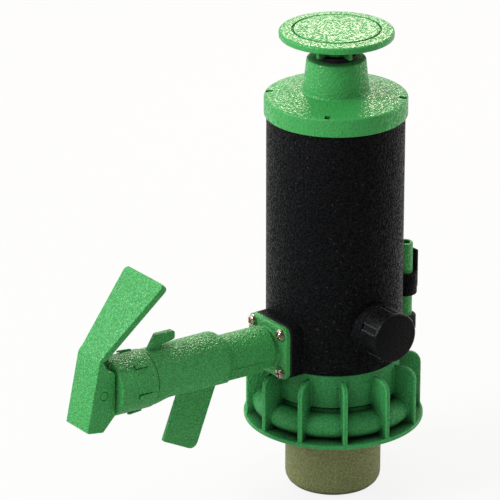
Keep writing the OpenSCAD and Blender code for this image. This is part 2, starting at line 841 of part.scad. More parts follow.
module knob() {
    color(green) difference() {
        union() {
            rotate_extrude() polygon([
                [0, knob_under], [knob_rib_r, knob_under],
                [knob_r - edge, knob_under - knob_fall], [knob_r, knob_under - knob_fall + edge],
                [knob_r, knob_top - knob_fall - edge],
                each crown(knob_r - edge, knob_groove_r + knob_groove_w),
                crown_at(knob_groove_r + knob_groove_w / 2) - [0, knob_groove_deep],
                each crown(knob_groove_r, 0)
            ]);
            translate([0, 0, knob_z]) cylinder(r = knob_hub_r, h = knob_rib_h + edge);
            translate([0, 0, knob_under - knob_skirt_h])
                ring(knob_rib_r, knob_rib_r - knob_rib_t, knob_skirt_h + edge);
            for (i = [0 : knob_rib_count - 1]) rotate(knob_rib_turn + i * 360 / knob_rib_count)
                translate([0, -knob_rib_t / 2, knob_z])
                    cube([knob_rib_r, knob_rib_t, knob_rib_h + edge]);
        }
        translate([0, 0, knob_z - cut]) cylinder(r = rod_r + seat_gap, h = rod_top - knob_z + cut);
    }
}

module plunger_rod() {
    color(steel) {
        translate([0, 0, piston_top]) cylinder(r = rod_r, h = rod_top - piston_top);
        translate([0, 0, nut_z - rod_tail]) cylinder(r = rod_end_r, h = piston_top - nut_z + rod_tail + edge);
    }
}

module piston_head() {
    color(natural) difference() {
        translate([0, 0, piston_z]) ring(piston_r, rod_end_r + seat_gap, piston_t);
        for (share = piston_ring_share)
            translate([0, 0, piston_z + share * piston_t - piston_ring_d / 2 - seal_groove_gap]) ring(
                bore_r,
                piston_ring_r - piston_ring_d / 2 - seal_groove_gap,
                piston_ring_d + 2 * seal_groove_gap
            );
    }
}

module piston_rings() {
    color(rubber) for (share = piston_ring_share)
        translate([0, 0, piston_z + share * piston_t]) torus(piston_ring_r, piston_ring_d);
}

module piston_washer() {
    color(steel) translate([0, 0, piston_z - washer_t])
        ring(washer_r, rod_end_r + seat_gap, washer_t);
}

module piston_nut() {
    color(steel) difference() {
        translate([0, 0, nut_z]) cylinder(d = nut_af / cos(30), h = nut_t, $fn = 6);
        translate([0, 0, nut_z - cut]) cylinder(r = rod_end_r + seat_gap, h = nut_t + 2 * cut);
    }
}

module plug_cap() {
    plug_r = plug_d / 2;
    color(black) plug_frame() difference() {
        translate([0, 0, plug_y]) cylinder(r = plug_r, h = plug_len);
        translate([0, 0, plug_y - cut]) cylinder(r = plug_skirt_r, h = plug_floor_y - plug_y + cut);
        for (i = [0 : plug_pads - 1]) rotate(plug_groove_turn + i * 360 / plug_pads)
            translate([plug_r - plug_groove_deep, -plug_groove_w / 2, plug_y - cut])
                cube([plug_r, plug_groove_w, plug_len - plug_face_t + cut]);
    }
}

module plug_gasket() {
    color(rubber) plug_frame() translate([0, 0, plug_gasket_y])
        cylinder(d = nozzle_d, h = plug_gasket_t);
}

// Outside of the tube and barrel, before their flat underside is cut
module spout_solid() {
    bar_x(-flange_t / 2, tube_neck_len + edge, tube_neck_r);
    bar_x(tube_neck_len, barrel_x + edge, tube_r);
    translate([tube_neck_len, -tube_r, -tube_r]) cube([barrel_x - tube_neck_len + edge, tube_d, tube_r]);
    translate([barrel_x, 0, 0]) rotate([0, 90, 0]) cylinder(r1 = tube_r, r2 = barrel_r, h = step_len);
    bar_x(barrel_x + step_len, sleeve_x - barrel_neck_len, barrel_r);
    bar_x(sleeve_x - barrel_neck_len - eps, sleeve_x, barrel_neck_r);
}

module blade() {
    toe = blade_len * [sin(blade_lean), -cos(blade_lean)];
    heel = (blade_len - blade_short) * [sin(blade_lean), -cos(blade_lean)];
    root = [blade_x, blade_sink - underside];
    plate_y(blade_t) polygon(rounded(
        [root, root + toe, root + [blade_w, 0] + heel, root + [blade_w, 0]],
        [0, blade_round, blade_round / 4, 0]
    ));
}

// Hook on the barrel, open toward the pump
module hook() {
    foot_x = sleeve_x - edge;
    slot_x = foot_x - hook_base_len;
    tip_x = foot_x - hook_arm_len;
    base_z = barrel_neck_r - hook_sink;
    top_z = barrel_neck_r + hook_rise;
    plate_y(hook_t) polygon(rounded(
        [
            [foot_x, base_z], [foot_x - hook_lean, top_z], [tip_x, top_z],
            [tip_x, barrel_neck_r + hook_slot], [slot_x, barrel_neck_r + hook_slot / 2], [slot_x, base_z]
        ],
        [0, hook_round, hook_round, hook_round / 2, 0, 0]
    ));
}

module at_windows() {
    for (i = [0 : window_count - 1]) rotate([window_turn + i * 360 / window_count - 90, 0, 0]) children();
}

module spout_barrel() {
    color(green) difference() {
        union() {
            flange_block(flange_back, spout_face);
            spout_frame() {
                difference() {
                    spout_solid();
                    translate([tube_neck_len, -barrel_r, -barrel_d - underside])
                        cube([arch_x - tube_neck_len, barrel_d, barrel_d]);
                    translate([arch_x, barrel_r, -underside - arch_r]) rotate([90, 0, 0])
                        cylinder(r = arch_r, h = barrel_d);
                }
                bar_x(sleeve_x - edge, nose_end, nose_r);
                at_windows() translate([window_x + tab_gap, -window_w / 2 + tab_gap, nose_r - edge])
                    cube([window_len - 2 * tab_gap, window_w - 2 * tab_gap, tab_proud - nose_r + edge]);
                blade();
                hook();
            }
        }
        spout_frame() {
            bar_x(-flange_t, tap_seat_x + cut, tube_bore_r);
            bar_x(tap_seat_x, nose_end + cut, nose_bore_r);
        }
        translate([-spout_face - flap_room, 0, spout_z]) bar_x(0, flap_room + flange_t + cut, flange_bore_r);
        flap_pocket();
        translate([-flap_pivot_x - flap_pin_r - seat_gap, -flap_pin_len / 2 - seat_gap,
            flap_pivot_z - flap_pin_r - seat_gap])
            cube([flange_t, flap_pin_len + 2 * seat_gap, 2 * (flap_pin_r + seat_gap)]);
        translate([-spout_face - cut, 0, 0]) at_screws()
            bar_x(0, flange_t + 2 * cut, screw_d / 2 + screw_hole_slack);
    }
}

// Room above the outlet for the flap's knuckle and ear
module flap_pocket() {
    translate([-spout_face + flange_t / 4, -flap_pocket_w / 2, flap_pivot_z - flap_pocket_drop])
        cube([flange_t + gasket_t - flange_t / 4 - eps, flap_pocket_w, flap_pocket_drop + flap_pocket_rise]);
}

module spout_sleeve() {
    color(green) spout_frame() difference() {
        bar_x(sleeve_x + seat_gap, sleeve_end, barrel_r);
        bar_x(sleeve_x - cut, sleeve_end - lip_len, sleeve_in_r);
        bar_x(sleeve_x, sleeve_end + cut, sleeve_lip_r);
        at_windows() translate([window_x, -window_w / 2, sleeve_in_r - cut])
            cube([window_len, window_w, barrel_r]);
    }
}

module flange_gasket() {
    color(rubber) difference() {
        flange_block(pad_face, flange_back);
        translate([-flange_back - cut, 0, spout_z]) bar_x(0, gasket_t + 2 * cut, flange_bore_r);
        translate([-flange_back - cut, -flap_pocket_w / 2, flap_pivot_z - flap_pocket_drop])
            cube([gasket_t + 2 * cut, flap_pocket_w, flap_pocket_drop + flap_pocket_rise]);
        translate([-flange_back - cut, 0, 0]) at_screws()
            bar_x(0, gasket_t + 2 * cut, screw_d / 2 + screw_hole_slack);
    }
}

module flange_screws() {
    color(steel) at_screws() difference() {
        union() {
            bar_x(-spout_face - screw_head_h, -spout_face, screw_head_d / 2);
            bar_x(-spout_face - eps, -spout_face + screw_len, screw_d / 2);
        }
        for (turn = [0, 90]) rotate([turn + 45, 0, 0])
            translate([-spout_face - screw_head_h - cut, -screw_head_d / 4, -screw_slot_w / 2])
                cube([screw_slot_deep + cut, screw_head_d / 2, screw_slot_w]);
    }
}

module outlet_flap() {
    color(rubber) difference() {
        union() {
            translate([-pad_face - run_gap - flap_t, 0, spout_z]) bar_x(0, flap_t, flap_r);
            translate([-pad_face - run_gap - flap_t, -flap_ear_w / 2, spout_z + flap_r / 2])
                cube([flap_t, flap_ear_w, flap_pivot_z - spout_z - flap_r / 2]);
            translate([-flap_pivot_x, flap_knuckle_len / 2, flap_pivot_z]) rotate([90, 0, 0])
                cylinder(r = flap_knuckle_r, h = flap_knuckle_len);
        }
        translate([-flap_pivot_x, flap_pin_len / 2, flap_pivot_z]) rotate([90, 0, 0])
            cylinder(r = flap_pin_r + shaft_gap, h = flap_pin_len);
    }
}

module flap_pin() {
    color(steel) translate([-flap_pivot_x, flap_pin_len / 2, flap_pivot_z]) rotate([90, 0, 0])
        cylinder(r = flap_pin_r, h = flap_pin_len);
}

module tap_seat() {
    color(natural) spout_frame() difference() {
        bar_x(tap_seat_x, tap_seat_x + tap_seat_t, nose_bore_r - seat_gap / 2);
        bar_x(tap_seat_x - cut, tap_seat_x + tap_seat_t + cut, tap_bore_d / 2);
    }
}

module stem_guide() {
    ring_r = nose_bore_r - seat_gap / 2;
    color(natural) spout_frame() difference() {
        union() {
            difference() {
                bar_x(guide_x, nose_end, ring_r);
                bar_x(guide_x - cut, nose_end + cut, ring_r - guide_ring_w);
            }
            for (i = [0 : guide_arms - 1]) rotate([i * 360 / guide_arms, 0, 0])
                translate([guide_x, -guide_arm_w / 2, 0])
                    cube([guide_t, guide_arm_w, ring_r - guide_ring_w / 2]);
            bar_x(guide_x, nose_end, guide_hub_r);
        }
        bar_x(guide_x - cut, nose_end + cut, stem_d / 2 + shaft_gap);
    }
}

module tap_spring() {
    color(steel) spout_frame() translate([tap_spring_x + coil_slack, 0, 0]) rotate([0, 90, 0])
        coil(tap_coil_r, tap_wire_d, guide_x - tap_spring_x - 2 * coil_slack, tap_turns);
}

module tap_stem() {
    color(steel) spout_frame() difference() {
        union() {
            bar_x(tap_disc_x, pin_x, stem_d / 2);
            translate([pin_x, stem_eye_w / 2, 0]) rotate([90, 0, 0])
                cylinder(r = stem_eye_r, h = stem_eye_w);
        }
        translate([pin_x, lever_w / 2, 0]) rotate([90, 0, 0])
            cylinder(r = pin_d / 2 + shaft_gap, h = lever_w);
    }
}

module tap_disc() {
    color(natural) spout_frame() difference() {
        bar_x(tap_disc_x, tap_disc_x + tap_disc_t, tap_disc_d / 2);
        bar_x(tap_disc_x - cut, tap_disc_x + tap_disc_t + cut, stem_d / 2 + seat_gap);
    }
}

module tap_seal() {
    color(rubber) spout_frame() bar_x(tap_seal_x, tap_seal_x + tap_seal_t, tap_disc_d / 2);
}

// Side view of hood and cheeks, measured from the pin: both cheeks are cut from it
module hood_outline() {
    points = concat(
        [
            [-cheek_back, -cheek_low], [-cheek_back + cheek_chamfer, -cheek_low - cheek_chamfer],
            hood_foot, hood_foot + lever_t * hood_out
        ],
        arc(bend, bend_r, hood_lean, thumb_lean),
        [
            bend + bend_r * thumb_out + bend_stub * thumb_up,
            bend + bend_inset * thumb_out + bend_stub * thumb_up,
            bend + bend_inset * thumb_out, bend - [cheek_round, bend_up - cheek_top],
            [-cheek_back, cheek_top]
        ]
    );
    last = len(points) - 1;
    polygon(rounded(points, [for (i = [0 : last]) i == last ? cheek_round : 0]));
}

// Room between the cheeks, behind the hood
module hood_room() {
    low = hood_foot - hood_len / 2 * [-sin(hood_lean), cos(hood_lean)];
    polygon([low, bend, [-cheek_back - cut, bend_up], [-cheek_back - cut, low.y]]);
}

module thumb_plate() {
    translate([lever_t - thumb_t, 0, 0]) plate_x(thumb_t) polygon(rounded(
        [
            [-lever_w / 2 - seat_gap, 0], [lever_w / 2 + seat_gap, 0],
            [thumb_tip_w / 2, thumb_len], [-thumb_tip_w / 2, thumb_len]
        ],
        [0, 0, thumb_round, thumb_round]
    ));
}

module tap_lever() {
    color(green) lever_frame() difference() {
        union() {
            plate_y(lever_w) hood_outline();
            translate([bend.x, 0, bend.y]) rotate([0, -thumb_lean, 0]) thumb_plate();
        }
        plate_y(lever_w - 2 * cheek_t) hood_room();
        translate([0, lever_w, 0]) rotate([90, 0, 0])
            cylinder(r = pin_d / 2 + seat_gap / 2, h = 2 * lever_w);
    }
}

module lever_pin() {
    color(green) lever_frame() translate([0, lever_w / 2, 0]) rotate([90, 0, 0])
        cylinder(d = pin_d, h = lever_w);
}

module vent_tube() {
    color(green) translate([vent_x, 0, vent_seat_z])
        ring(vent_d / 2, vent_bore_d / 2, vent_top - vent_seat_z);
}

module vent_clip() {
    clip_r = clip_d / 2;
    color(black) translate([vent_x, 0, clip_z]) difference() {
        union() {
            cylinder(r = clip_r, h = clip_h);
            plate_y(clip_spine_w) polygon([
                [0, 0], [clip_r - clip_chamfer, 0], [clip_r + clip_spine_t / 2, clip_chamfer],
                [clip_r, clip_h + clip_spine_rise], [clip_r - clip_spine_t, clip_h + clip_spine_rise],
                [clip_r - clip_spine_t, clip_h], [0, clip_h]
            ]);
        }
        translate([0, 0, -cut]) cylinder(r = vent_d / 2 + seat_gap, h = vent_rise);
    }
}

cylinder_body();
top_cap();
cap_seal_ring();
rod_guide_bush();
rod_wiper_seal();
bump_ring();
foot_valve_cage();
foot_valve_spring();
foot_valve_disc();
foot_valve_seal();
inlet_adaptor();
adaptor_seal_ring();
neck_gasket();
collar();
knob();
plunger_rod();
piston_head();
piston_rings();
piston_washer();
piston_nut();
plug_cap();
plug_gasket();
spout_barrel();
spout_sleeve();
flange_gasket();
flange_screws();
outlet_flap();
flap_pin();
tap_seat();
stem_guide();
tap_spring();
tap_stem();
tap_disc();
tap_seal();
tap_lever();
lever_pin();
vent_tube();
vent_clip();
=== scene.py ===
# %% [markdown]
# # A hand pump for a drum, dressed piece by piece
# The pump stands on a drum neck: a knob drives a plunger down a black cylinder, and a side spout with a
# squeeze lever lets the liquid out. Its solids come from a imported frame, in metres, and they keep their
# places. Each lesson below makes one visible moulding again with softer edges and finer detail, in the
# space of its solid.

# %% The frame
import json
import math

import bpy
from mathutils import Matrix, Vector


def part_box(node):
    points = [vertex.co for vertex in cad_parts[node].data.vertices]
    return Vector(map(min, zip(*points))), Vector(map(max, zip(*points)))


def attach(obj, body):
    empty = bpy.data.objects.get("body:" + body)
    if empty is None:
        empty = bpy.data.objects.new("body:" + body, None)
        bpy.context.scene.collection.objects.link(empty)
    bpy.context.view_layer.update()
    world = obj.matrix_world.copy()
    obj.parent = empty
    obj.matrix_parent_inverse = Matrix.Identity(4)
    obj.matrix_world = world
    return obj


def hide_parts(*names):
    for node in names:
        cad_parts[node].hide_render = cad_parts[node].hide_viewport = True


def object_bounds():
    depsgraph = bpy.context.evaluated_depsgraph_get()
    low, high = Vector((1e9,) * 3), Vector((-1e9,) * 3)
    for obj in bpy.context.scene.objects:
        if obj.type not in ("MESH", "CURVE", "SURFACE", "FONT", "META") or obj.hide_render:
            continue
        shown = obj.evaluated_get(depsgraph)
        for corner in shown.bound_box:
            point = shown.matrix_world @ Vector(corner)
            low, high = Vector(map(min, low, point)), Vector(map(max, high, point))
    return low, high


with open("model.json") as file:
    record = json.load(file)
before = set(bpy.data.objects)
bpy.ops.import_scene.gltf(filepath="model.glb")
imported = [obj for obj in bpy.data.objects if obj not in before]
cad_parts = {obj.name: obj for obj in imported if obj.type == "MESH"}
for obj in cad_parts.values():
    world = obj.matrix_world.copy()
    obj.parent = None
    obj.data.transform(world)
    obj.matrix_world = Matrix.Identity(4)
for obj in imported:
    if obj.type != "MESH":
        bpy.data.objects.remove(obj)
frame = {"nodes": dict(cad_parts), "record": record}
cad_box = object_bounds()
MM = 0.001


def box_mm(node):
    """Lowest and highest corner of one of the frame's solids, in millimetres."""
    low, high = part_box(node)
    return low / MM, high / MM


# %% [markdown]
# ## The camera
# The photograph looks down on the pump from the spout's side, with a long lens and hardly any
# perspective. A pinhole fitted to the round edges of cap, cylinder, collar and stub gave the turn, the
# height and the lens.

# %% Camera
CAMERA_TURN = math.radians(38)
CAMERA_SWING = math.radians(1.365)
CAMERA_DIP = math.radians(22.386)
CAMERA_REACH = 2.300
CAMERA_HEIGHT = 1.1109
CAMERA_LENS = 276.6
CAMERA_FAR = 30

bpy.ops.object.camera_add(
    location=(-CAMERA_REACH * math.sin(CAMERA_TURN), -CAMERA_REACH * math.cos(CAMERA_TURN), CAMERA_HEIGHT),
    rotation=(math.pi / 2 - CAMERA_DIP, 0, CAMERA_SWING - CAMERA_TURN),
)
camera = bpy.context.object
camera.data.lens = CAMERA_LENS
camera.data.clip_end = CAMERA_FAR
bpy.context.scene.camera = camera
bpy.context.scene.view_settings.view_transform = "Standard"
print("camera at", [round(v, 3) for v in camera.location])

# %% [markdown]
# ## Shared effects for the finishes
# Every moulding of this pump came out of a spark-eroded steel mould, which leaves a fine pebbled skin
# that glitters where the light grazes it. An image could show that, but a node group made of noise needs
# no file and has one true size on every piece. The group gives a height for the bump, a speckle of glossy
# tops and dull pits, bright flecks, and slow drifts of colour and of gloss. A second group finds edges,
# which get a painted highlight, and corners, where little light comes, which get painted shade.

# %% Node helpers
# Sockets of a Mix node that mixes colours.
MIX_FACTOR, MIX_A, MIX_B, MIX_OUT = 0, 6, 7, 2


def feed(tree, node, inputs):
    """Give a node's inputs constants, or link them to the outputs of other nodes."""
    for key, value in inputs.items():
        if isinstance(value, bpy.types.NodeSocket):
            tree.links.new(value, node.inputs[key])
        else:
            node.inputs[key].default_value = value


def add_node(tree, kind, inputs=None, **settings):
    """Add a shader node, set its options and feed its inputs."""
    node = tree.nodes.new(kind)
    for key, value in settings.items():
        setattr(node, key, value)
    feed(tree, node, inputs or {})
    return node


def new_group(name, inputs, outputs):
    """Start a shader node group with the given number inputs and number outputs."""
    group = bpy.data.node_groups.new(name, "ShaderNodeTree")
    for label, value in inputs.items():
        socket = group.interface.new_socket(label, in_out="INPUT", socket_type="NodeSocketFloat")
        socket.default_value = value
    for label in outputs:
        group.interface.new_socket(label, in_out="OUTPUT", socket_type="NodeSocketFloat")
    return group, group.nodes.new("NodeGroupInput"), group.nodes.new("NodeGroupOutput")


def scaled(tree, value, factor):
    """Multiply a number by a constant."""
    return add_node(tree, "ShaderNodeMath", {0: value, 1: factor}, operation="MULTIPLY").outputs[0]


def ranged(tree, value, first, last, low=0.0, high=1.0, curve="LINEAR"):
    """Map one range of a number to another, which is 0 to 1 for a mask."""
    inputs = {"Value": value, "From Min": first, "From Max": last, "To Min": low, "To Max": high}
    return add_node(tree, "ShaderNodeMapRange", inputs, interpolation_type=curve).outputs["Result"]


def mix_colours(tree, factor, first, second):
    """Mix two colours by a mask."""
    inputs = {MIX_FACTOR: factor, MIX_A: first, MIX_B: second}
    return add_node(tree, "ShaderNodeMix", inputs, data_type="RGBA").outputs[MIX_OUT]


def mix_values(tree, factor, first, second):
    """Mix two numbers by a mask."""
    inputs = {"Factor": factor, "A": first, "B": second}
    return add_node(tree, "ShaderNodeMix", inputs).outputs["Result"]


# %% Group: skin of a spark-eroded mould
DRIFT_PER_METRE = 38
GLOSS_PER_METRE = 140
FLECK_SPREAD = 0.30
FLECK_FAR = 0.18
FLECK_NEAR = 0.08
PIT_LEVEL = 0.40
TOP_LEVEL = 0.60
PIT_SHARE = 0.5

mould_skin, skin_in, skin_out = new_group(
    "mould_skin", {"Grain per Metre": 700.0}, ["Height", "Speckle", "Fleck", "Drift", "Gloss"]
)
skin_place = add_node(mould_skin, "ShaderNodeTexCoord").outputs["Object"]
skin_grain = {"Vector": skin_place, "Scale": skin_in.outputs["Grain per Metre"]}
fleck_grain = {**skin_grain, "Scale": scaled(mould_skin, skin_grain["Scale"], FLECK_SPREAD)}


def skin_noise(**values):
    """A noise over the skin, with a scale of its own or the grain's."""
    return add_node(mould_skin, "ShaderNodeTexNoise", {**skin_grain, **values}).outputs["Fac"]


pebbles = skin_noise(Detail=1.0, Roughness=0.5)
pits = add_node(mould_skin, "ShaderNodeTexVoronoi", skin_grain, feature="SMOOTH_F1").outputs["Distance"]
flecks = add_node(mould_skin, "ShaderNodeTexVoronoi", fleck_grain).outputs["Distance"]
pit_height = scaled(mould_skin, pits, PIT_SHARE)
skin_height = add_node(mould_skin, "ShaderNodeMath", {0: pebbles, 1: pit_height}, operation="ADD")
feed(mould_skin, skin_out, {
    "Height": skin_height.outputs[0],
    "Speckle": ranged(mould_skin, pebbles, PIT_LEVEL, TOP_LEVEL),
    "Fleck": ranged(mould_skin, flecks, FLECK_FAR, FLECK_NEAR, curve="SMOOTHSTEP"),
    "Drift": skin_noise(Scale=DRIFT_PER_METRE, Detail=3.0),
    "Gloss": skin_noise(Scale=GLOSS_PER_METRE, Detail=4.0),
})
print("group", mould_skin.name, "with", len(mould_skin.nodes), "nodes")

# %% Group: edges and corners
EDGE_REACH = 1.3 * MM
EDGE_FLAT = 0.015
EDGE_SHARP = 0.18
CORNER_REACH = 7.0 * MM
CORNER_OPEN = 0.80
CORNER_CLOSED = 0.25

edges, edges_in, edges_out = new_group(
    "edges_and_corners", {"Edge Reach": EDGE_REACH, "Corner Reach": CORNER_REACH}, ["Edge", "Corner"]
)
# Edge: where a wider bevel's normal turns away from the surface's own; the plastics paint a highlight
# there.
bevel_reach = {"Radius": edges_in.outputs["Edge Reach"]}
rounded_normal = add_node(edges, "ShaderNodeBevel", bevel_reach, samples=4).outputs["Normal"]
own_normal = add_node(edges, "ShaderNodeNewGeometry").outputs["Normal"]
both_normals = {0: rounded_normal, 1: own_normal}
agree = add_node(edges, "ShaderNodeVectorMath", both_normals, operation="DOT_PRODUCT").outputs["Value"]
# Corner: ambient occlusion within a reach; the plastics paint shade there and turn duller.
shadow_reach = {"Distance": edges_in.outputs["Corner Reach"]}
openness = add_node(edges, "ShaderNodeAmbientOcclusion", shadow_reach, samples=4).outputs["AO"]
feed(edges, edges_out, {
    "Edge": ranged(edges, agree, 1 - EDGE_FLAT, 1 - EDGE_SHARP),
    "Corner": ranged(edges, openness, CORNER_OPEN, CORNER_CLOSED),
})
print("group", edges.name, "with", len(edges.nodes), "nodes")

# %% [markdown]
# ## The moulded plastics
# The bright parts are one green polypropylene, the cylinder and the plug a nearly black one, and the stub
# that stands in the drum is khaki. They differ in colour, in how coarse the mould's skin is and in gloss,
# so one function makes them all from the shared groups. The Principled shader stays in each material
# itself.

# %% Moulded plastics
SKIN_DEEP = 0.8 * MM
PIT_ROUGH = 0.75
CORNER_ROUGH = 0.95
FLECK_PALE = 12.0
# How dark the painted shade in corners is, as a factor of the plastic's colour.
CORNER_PAINTED_SHADE = 0.15
GLOSS_SWING = 0.06


def shade(colour, factor):
    """A colour made darker or lighter by a factor, with its alpha."""
    return tuple(min(1.0, max(0.0, c * factor)) for c in colour) + (1.0,)


def new_finish(name):
    """A new material with its node tree and its shader."""
    material = bpy.data.materials.new(name)
    material.use_nodes = True
    return material, material.node_tree, material.node_tree.nodes["Principled BSDF"]


def moulded_plastic(
    name, colour, grain, bump, roughness, specular, speckle=0.0, edge=0.3, painted_edge_highlight=1.7,
    edge_reach=EDGE_REACH, corner=0.7, corner_reach=CORNER_REACH, fleck=0.0, spread=0.12
):
    """A plastic with a pebbled skin, drifting colour, dull pits, painted highlights on edges, painted
    shade in corners and flecks.
    """
    material, tree, shader = new_finish(name)
    reaches = {"Edge Reach": edge_reach, "Corner Reach": corner_reach}
    skin = add_node(tree, "ShaderNodeGroup", {"Grain per Metre": grain}, node_tree=mould_skin).outputs
    rim = add_node(tree, "ShaderNodeGroup", reaches, node_tree=edges).outputs

    levels = []
    for level in (1 - speckle, 1 + speckle):
        darker = shade(colour, level * (1 - spread))
        lighter = shade(colour, level * (1 + spread))
        levels.append(mix_colours(tree, skin["Drift"], darker, lighter))
    paint = mix_colours(tree, skin["Speckle"], *levels)
    # Over the paint go a painted highlight along edges, bright flecks, and painted shade in corners.
    layers = (
        (rim["Edge"], edge, painted_edge_highlight),
        (skin["Fleck"], fleck, FLECK_PALE),
        (rim["Corner"], corner, CORNER_PAINTED_SHADE),
    )
    for mask, share, level in layers:
        paint = mix_colours(tree, scaled(tree, mask, share), paint, shade(colour, level))

    sheen = ranged(tree, skin["Gloss"], 0.0, 1.0, roughness - GLOSS_SWING, roughness + GLOSS_SWING)
    grained = mix_values(tree, skin["Speckle"], PIT_ROUGH, sheen)
    relief = {"Strength": bump, "Distance": SKIN_DEEP, "Height": skin["Height"]}
    feed(tree, shader, {
        "Base Color": paint,
        "Specular IOR Level": specular,
        "Roughness": mix_values(tree, rim["Corner"], grained, CORNER_ROUGH),
        "Normal": add_node(tree, "ShaderNodeBump", relief).outputs["Normal"],
    })
    return material


GREEN = (0.044, 0.378, 0.082)
# The collar's green is the same green darkened, as painted shade for the collar in the cylinder's shadow.
GREEN_IN_PAINTED_SHADE = (0.041, 0.298, 0.082)
NEAR_BLACK = (0.0064, 0.0067, 0.0076)
JET = (0.0026, 0.0028, 0.0032)
KHAKI = (0.226, 0.248, 0.088)
UNDYED = (0.70, 0.68, 0.60)
RUBBER = (0.020, 0.020, 0.021)

# Cap and knob: the wide corner reach spreads painted shade, and duller gloss, under the knob and round the
# boss.
green_grained = moulded_plastic(
    "green_grained", GREEN, grain=600, bump=0.6, roughness=0.18, specular=0.58,
    speckle=0.10, edge=0.45, corner_reach=21 * MM
)
green_pebbled = moulded_plastic(
    "green_pebbled", GREEN, grain=760, bump=1.1, roughness=0.24, specular=0.62, speckle=0.16, edge=0.6
)
green_satin = moulded_plastic(
    "green_satin", GREEN, grain=760, bump=1.3, roughness=0.20, specular=0.70, speckle=0.14, edge=0.4
)
# The collar: green darkened as painted shade, with stronger painted highlights on edges and deeper painted
# shade in corners.
green_in_painted_shade = moulded_plastic(
    "green_in_painted_shade", GREEN_IN_PAINTED_SHADE, grain=760, bump=0.8, roughness=0.28, specular=0.30, speckle=0.16,
    edge=1.0, painted_edge_highlight=2.6, edge_reach=2.2 * MM, corner=1.0, corner_reach=15 * MM
)
black_grained = moulded_plastic(
    "black_grained", NEAR_BLACK, grain=760, bump=0.9, roughness=0.30, specular=0.065,
    speckle=0.5, edge=0.5, painted_edge_highlight=6.0, fleck=0.3
)
# The plug's edges get a strong painted highlight.
black_glossy = moulded_plastic(
    "black_glossy", JET, grain=900, bump=0.25, roughness=0.16, specular=0.24,
    speckle=0.1, edge=0.9, painted_edge_highlight=42.0
)
khaki_smooth = moulded_plastic(
    "khaki_smooth", KHAKI, grain=900, bump=0.9, roughness=0.42, specular=0.62, speckle=0.18, edge=0.4
)
undyed_smooth = moulded_plastic(
    "undyed_smooth", UNDYED, grain=500, bump=0.04, roughness=0.42, specular=0.45, edge=0.1, spread=0.04
)
seal_rubber = moulded_plastic(
    "seal_rubber", RUBBER, grain=1200, bump=0.10, roughness=0.62, specular=0.35, fleck=0.06
)
print("plastics:", [material.name for material in bpy.data.materials])

# %% [markdown]
# ## The metals
# The screws are bronzed steel pan heads, and rod, stem and springs are drawn stainless. Drawing and
# turning leave fine lines, so a noise that is stretched along one direction varies the gloss and lifts a
# slight bump.

# %% Metals
LINE_DARK = 0.86
LINE_PALE = 1.08
LINE_DEEP = 0.05 * MM
LINE_GLOSS = 0.08
LINE_DULL = 0.12


def drawn_metal(name, colour, stretch, roughness, bump):
    """A bare metal with fine lines; stretch is how often the lines change along X, Y and Z, per metre."""
    material, tree, shader = new_finish(name)
    place = add_node(tree, "ShaderNodeTexCoord").outputs["Object"]
    squeezed = add_node(tree, "ShaderNodeMapping", {"Vector": place, "Scale": stretch}).outputs["Vector"]
    noise = {"Vector": squeezed, "Scale": 1.0, "Detail": 3.0}
    lines = add_node(tree, "ShaderNodeTexNoise", noise).outputs["Fac"]
    relief = {"Strength": bump, "Distance": LINE_DEEP, "Height": lines}
    feed(tree, shader, {
        "Metallic": 1.0,
        "Base Color": mix_colours(tree, lines, shade(colour, LINE_DARK), shade(colour, LINE_PALE)),
        "Roughness": ranged(tree, lines, 0.0, 1.0, roughness - LINE_GLOSS, roughness + LINE_DULL),
        "Normal": add_node(tree, "ShaderNodeBump", relief).outputs["Normal"],
    })
    return material


STAINLESS = (0.66, 0.64, 0.60)
BRONZED = (0.72, 0.61, 0.50)
drawn_steel = drawn_metal("drawn_steel", STAINLESS, stretch=(2600, 2600, 60), roughness=0.30, bump=0.25)
screw_steel = drawn_metal("screw_steel", BRONZED, stretch=(900, 900, 900), roughness=0.18, bump=0.10)
print("metals:", drawn_steel.name, screw_steel.name)

# %% [markdown]
# ## Tools of the bench
# Most mouldings are either turned, like a cap or a barrel, or plates, like a rib or a lever. A turned
# shape starts as a circle that is extruded and scaled from station to station. A plate starts as one
# vertex that is extruded along its outline, filled and pulled to its thickness. Corners get their arcs in
# the outline, because a bevel of the finished edge would be limited by its short neighbours. Boolean
# modifiers join and cut the results.

# %% Selecting and placing
ARC_STEPS = 5
# The middle of a turned piece is a tiny circle, because nothing can be scaled up from a point.
AXIS = 0.02
DOUBLES = 0.002 * MM


def focus(*pieces):
    """Select these objects alone, and make the first one active."""
    bpy.ops.object.select_all(action="DESELECT")
    for piece in pieces:
        piece.select_set(True)
    bpy.context.view_layer.objects.active = pieces[0]


def at(x, y, z):
    """A move to a place given in millimetres."""
    return Matrix.Translation((x, y, z))


def spun(degrees, axis):
    """A turn about an axis."""
    return Matrix.Rotation(math.radians(degrees), 4, axis)


def settle(piece, matrix=Matrix.Identity(4)):
    """Put a piece at a place given in millimetres and write that place into its mesh."""
    metres = matrix.copy()
    metres.translation = metres.translation * MM
    piece.matrix_world = metres @ piece.matrix_world
    focus(piece)
    bpy.ops.object.transform_apply(location=True, rotation=True, scale=True)
    return piece


def close_mesh(piece):
    """Merge doubles and turn all faces outward, from edit mode, and leave edit mode."""
    bpy.ops.mesh.select_all(action="SELECT")
    bpy.ops.mesh.remove_doubles(threshold=DOUBLES)
    bpy.ops.mesh.normals_make_consistent(inside=False)
    bpy.ops.object.mode_set(mode="OBJECT")
    return settle(piece)


# %% Outlines


def arc(centre, radius, start, end, steps=ARC_STEPS):
    """Points of an arc about a centre, from one angle in degrees to another."""
    turns = [math.radians(start + (end - start) * i / steps) for i in range(steps + 1)]
    return [(centre[0] + radius * math.cos(t), centre[1] + radius * math.sin(t)) for t in turns]


